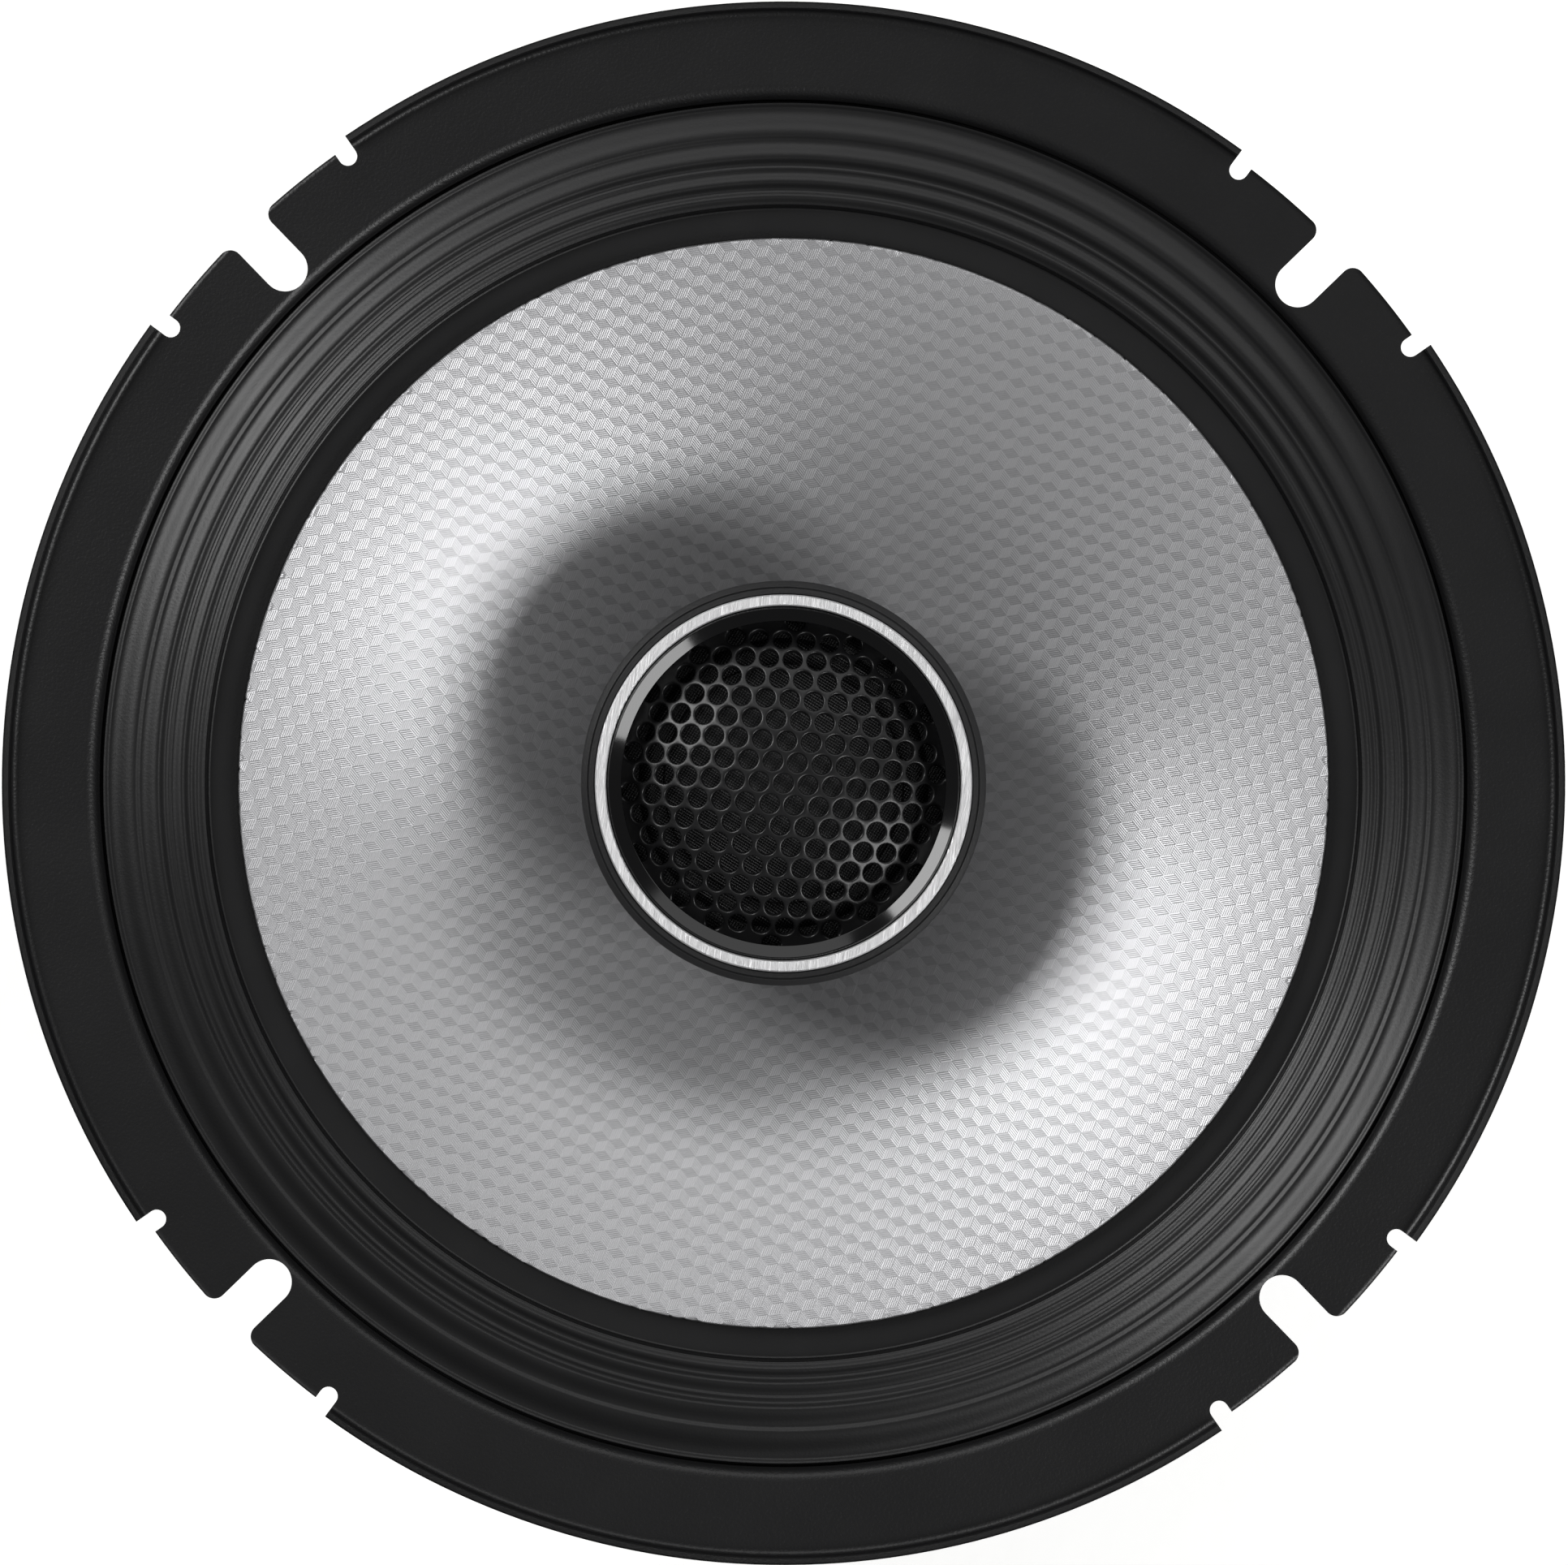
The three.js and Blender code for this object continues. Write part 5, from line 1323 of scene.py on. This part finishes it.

# Coated silk: black and soft, with small light dots painted where the threads cross: painted highlights that
# stand for the coating's shine.
silk = surface("coated_silk", "#0b0b0c", 0.42)
tree, shader, place = opened(silk)
split = add(tree, "ShaderNodeSeparateXYZ", {"Vector": place})
threads = []
for across, along, slant in (("X", "Y", SILK_SLANT), ("Y", "X", -SILK_SLANT)):
    slanted = add(
        tree, "ShaderNodeMath", {0: split.outputs[along], 1: slant, 2: split.outputs[across]},
        operation="MULTIPLY_ADD"
    )
    phase = add(
        tree, "ShaderNodeMath", {0: slanted, 1: 2 * math.pi / (SILK_PITCH * MM)}, operation="MULTIPLY"
    )
    threads.append(add(tree, "ShaderNodeMath", {0: phase}, operation="SINE"))
knots = add(tree, "ShaderNodeMath", {0: threads[0], 1: threads[1]}, operation="MULTIPLY")
# Painted highlight: the light dots at the crossings are colour, not reflection.
painted_glint_dots = add(tree, "ShaderNodeMapRange", {"Value": knots, "From Min": 0.2, "From Max": 1.0})
vary(silk, painted_glint_dots, colour=("#070708", "#4a4a4c"))
vary(silk, knots, relief=0.06)

dome_r, _, dome_high = span("tweeter_dome")
dome_sphere = (dome_r**2 + DOME_RISE**2) / (2 * DOME_RISE)
dome_front = []
for k in range(DOME_STEPS + 1):
    radius = dome_r * k / DOME_STEPS
    dome_front.append((radius, dome_high - dome_sphere + math.sqrt(dome_sphere**2 - radius**2)))
dome_profile = dome_front + [(r, z - SILK_T) for r, z in reversed(dome_front)]
dome = turned("silk_dome", dome_profile, silk, 96)
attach(dome, "tweeter_diaphragm")
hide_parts("tweeter_dome")

roll_r, roll_low, _ = span("tweeter_surround")
roll_start = dome_r + 0.1
roll_end = dome_r + ROLL_WIDTH
roll_base = roll_low + 0.3
roll_line = [(roll_start, roll_base)]
for k in range(1, ROLL_STEPS):
    share = k / ROLL_STEPS
    radius = roll_start + (roll_end - roll_start) * share
    roll_line.append((radius, roll_base + ROLL_RISE * math.sin(math.pi * share)))
roll_line += [(roll_end, roll_base), (roll_r, roll_base)]
roll = turned("silk_roll", sheet_section(roll_line, SILK_T), silk, 96)
bend_between(roll, "tweeter_diaphragm", roll_start, roll_end)
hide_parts("tweeter_surround")

# ---------------------------------------------------------------- tweeter housing
# Moulded black nylon. It seats on the stem, holds the tweeter's motor, and ends in a slim rim
# round the trim ring.

HOUSING_FOOT_R = 18.0
HOUSING_TAPER_H = 7.7
HOUSING_BORE_R = 18.0
RIM_LINE_R = 20.75

trim_r, trim_low, trim_high = span("tweeter_trim_ring")
bezel_r, bezel_low, bezel_high = span("tweeter_bezel")
cup_r, cup_low, cup_high = span("tweeter_yoke_cup")
grille_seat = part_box("tweeter_grille")[0].z / MM
trim_inner = bezel_r + 0.1
housing_corners = [
    (STEM_TOP_R + 0.2, housing_low), (HOUSING_FOOT_R - 0.6, housing_low, 0.8),
    (HOUSING_FOOT_R + 0.6, housing_low + 1.6, 1.5), (housing_r, housing_low + HOUSING_TAPER_H, 4.0),
    (housing_r, housing_top - 0.5, 0.4), (RIM_LINE_R + 0.12, housing_top - 0.05, 0.05),
    (RIM_LINE_R, housing_top - 0.18), (RIM_LINE_R - 0.12, housing_top - 0.05, 0.05),
    (trim_r + 0.1, housing_top, 0.1), (trim_r + 0.1, trim_low), (trim_inner, trim_low),
    (trim_inner, grille_seat), (HOUSING_BORE_R, grille_seat), (HOUSING_BORE_R, cup_high),
    (cup_r + 0.1, cup_high), (cup_r + 0.1, cup_low), (STEM_TOP_R + 0.2, cup_low)
]
housing = turned("nylon_housing", housing_corners, matt_black, 192)
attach(housing, "frame")
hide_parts("tweeter_housing")

# ---------------------------------------------------------------- grille
# Sheet steel, punched with round holes in rows, domed, and dip painted in satin black, so that
# the paint rounds the edge of each hole. Its rim lies under the bezel.

HOLE_PITCH = 2.62
HOLE_R = 1.04
GRILLE_LEAN = -3.4  # degrees
GRILLE_T = 0.6
GRILLE_CAP_R = 17.1
GRILLE_RISE = 4.9
GRILLE_OUTER_R = 18.6
HOLE_SIDES = 18
TILES_ACROSS = 25

# Dipped paint on punched steel: deep black with a wet gleam that gathers on the rounded edges.
dip_paint = surface("dipped_black_paint", "#111112", 0.32)
vary(dip_paint, {"Scale": 900.0, "Detail": 2.0}, roughness=(0.27, 0.40), relief=0.03)


def hexagon_edge(sides, pitch):
    """Points spread along a hexagon whose flat sides are half a pitch away."""
    points = []
    per_side = sides // 6
    corners = [np.array(p) for p in arc((0, 0), pitch / math.sqrt(3), 30, 330, 5)]
    for first, second in zip(corners, corners[1:] + corners[:1]):
        points += [tuple(first + (second - first) * k / per_side) for k in range(per_side)]
    return points


def tile(name, hole_levels):
    """One hexagon of the sheet. With levels of (hole radius, height) it has a hole."""
    edge = hexagon_edge(HOLE_SIDES, HOLE_PITCH)
    rings = [[(x, y, 0.0) for x, y in edge]]
    turn = math.radians(30)
    for radius, height in hole_levels:
        angles = (turn + 2 * math.pi * k / HOLE_SIDES for k in range(HOLE_SIDES))
        rings.append([(radius * math.cos(a), radius * math.sin(a), height) for a in angles])
    rings.append([(x, y, -GRILLE_T) for x, y in edge])
    vertices = [point for ring in rings for point in ring]
    faces = []
    if hole_levels:
        for level in range(len(rings) - 1):
            for k in range(HOLE_SIDES):
                j = (k + 1) % HOLE_SIDES
                base = level * HOLE_SIDES
                faces.append((base + k, base + j, base + HOLE_SIDES + j, base + HOLE_SIDES + k))
    else:
        faces = [tuple(range(HOLE_SIDES)), tuple(range(2 * HOLE_SIDES - 1, HOLE_SIDES - 1, -1))]
    mesh = bpy.data.meshes.new(name)
    mesh.from_pydata([tuple(c * MM for c in v) for v in vertices], [], faces)
    mesh.shade_smooth()
    return link_object(name, mesh)


hole_levels = [
    (HOLE_R + 0.20, 0.0), (HOLE_R + 0.10, -0.02), (HOLE_R + 0.03, -0.08), (HOLE_R, -0.20),
    (HOLE_R, -GRILLE_T)
]
punched = tile("punched_tile", hole_levels)
blank = tile("blank_tile", [])

perforating, given = new_tree(
    "punch_and_dome",
    {
        "Punched": "Object", "Blank": "Object", "Across": "Int", "Pitch": "Float", "Lean": "Float",
        "Hole limit": "Float", "Outer radius": "Float"
    }
)
reach = add(perforating, "ShaderNodeMath", {0: given["Outer radius"], 1: given["Pitch"]}, operation="ADD")
points = hexagonal_points(perforating, given, reach)
_, _, radius = radius_of(perforating)
is_rim = add(
    perforating, "ShaderNodeMath", {0: radius, 1: given["Hole limit"]}, operation="GREATER_THAN"
)
zones = add(
    perforating, "GeometryNodeSeparateGeometry", {"Geometry": points, "Selection": is_rim}, domain="POINT"
)
rim_tiles = set_on(perforating, zones.outputs["Selection"], given["Blank"], given["Lean"])
hole_tiles = set_on(perforating, zones.outputs["Inverted"], given["Punched"], given["Lean"])
joined = add(perforating, "GeometryNodeJoinGeometry")
for tiles in (hole_tiles, rim_tiles):
    feed(perforating, joined, {0: tiles})
real = add(perforating, "GeometryNodeRealizeInstances", {"Geometry": joined})
sheet = trimmed(perforating, real, 0.0, given["Outer radius"])
close_tree(perforating, sheet, given["Material"])

# The dome is part of a sphere, and keeps its length from crown to rim when it is pressed.
sphere_r = (GRILLE_CAP_R**2 + GRILLE_RISE**2) / (2 * GRILLE_RISE)
cap_length = sphere_r * math.asin(GRILLE_CAP_R / sphere_r)
sizes = {
    "Punched": punched, "Blank": blank, "Across": TILES_ACROSS, "Pitch": HOLE_PITCH * MM,
    "Lean": math.radians(GRILLE_LEAN), "Hole limit": (cap_length + HOLE_R * 0.3) * MM,
    "Outer radius": (cap_length + GRILLE_OUTER_R - GRILLE_CAP_R) * MM
}
grille = grow("punched_grille", perforating, sizes, dip_paint)
bpy.data.objects.remove(punched)
bpy.data.objects.remove(blank)
work = bmesh.new()
work.from_mesh(grille.data)
for vertex in work.verts:
    x, y, depth = (c / MM for c in vertex.co)
    flat = math.hypot(x, y)
    lean = min(flat, cap_length) / sphere_r
    radius = sphere_r * math.sin(lean) + max(0.0, flat - cap_length)
    height = grille_seat + GRILLE_T + GRILLE_RISE - sphere_r * (1 - math.cos(lean))
    if flat > cap_length:
        lean = 0.0
    radius += depth * math.sin(lean)
    ratio = radius / max(flat, 1e-9)
    vertex.co = Vector((x * ratio, y * ratio, height + depth * math.cos(lean))) * MM
bmesh.ops.bridge_loops(work, edges=[edge for edge in work.edges if edge.is_boundary])
bmesh.ops.recalc_face_normals(work, faces=work.faces)
work.to_mesh(grille.data)
work.free()
grille.data.set_sharp_from_angle(angle=math.radians(70))
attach(grille, "frame")
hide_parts("tweeter_grille")

# ---------------------------------------------------------------- bezel
# A polished black ring that slopes down from the trim ring to the grille and holds it in place.

BEZEL_INNER_R = 17.2
BEZEL_DROP = 0.5

# Polished ABS: black glass to the eye, with hard-edged reflections of the lamps.
gloss_black = surface("polished_black_abs", "#050506", 0.06)
vary(gloss_black, {"Scale": 260.0, "Detail": 3.0}, roughness=(0.04, 0.11))

bezel_corners = [
    (BEZEL_INNER_R, bezel_low), (bezel_r, bezel_low), (bezel_r, bezel_high - 0.1, 0.08),
    (bezel_r - 0.2, bezel_high, 0.1), (BEZEL_INNER_R, bezel_high - BEZEL_DROP, 0.12)
]
bezel = turned("polished_bezel", bezel_corners, gloss_black, 240)
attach(bezel, "frame")
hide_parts("tweeter_bezel")

# ---------------------------------------------------------------- trim ring
# Turned aluminium, brushed straight across the whole ring and clear anodised, with a bright
# bevel cut on each edge.

TRIM_BEVEL = 0.14
BRUSH_LEAN = 6.0  # degrees

# Brushed aluminium: hairlines all in one direction, so the ring is evenly bright round its face
# while its turned bevels flash.
brushed = surface("brushed_aluminium", "#f0f0f2", 0.45, metallic=1.0)
tree, shader, place = opened(brushed)
turned_place = add(
    tree, "ShaderNodeMapping", {"Vector": place, "Rotation": (0, 0, math.radians(BRUSH_LEAN))}
)
stretched = add(
    tree, "ShaderNodeVectorMath", {0: turned_place, 1: (6000, 160, 160)}, operation="MULTIPLY"
)
hairs = add(tree, "ShaderNodeTexNoise", {"Vector": stretched, "Scale": 1.0, "Detail": 3.0})
vary(brushed, hairs, colour=("#dedee0", "#ffffff"), roughness=(0.52, 0.38), relief=0.10)

trim_corners = [
    (trim_inner, trim_low), (trim_r, trim_low), (trim_r, trim_high - TRIM_BEVEL, 0.03),
    (trim_r - TRIM_BEVEL, trim_high, 0.03), (trim_inner + TRIM_BEVEL, trim_high, 0.03),
    (trim_inner, trim_high - TRIM_BEVEL, 0.03)
]
trim = turned("brushed_trim_ring", trim_corners, brushed, 288, sharp=20, steps=3)
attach(trim, "frame")
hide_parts("tweeter_trim_ring")
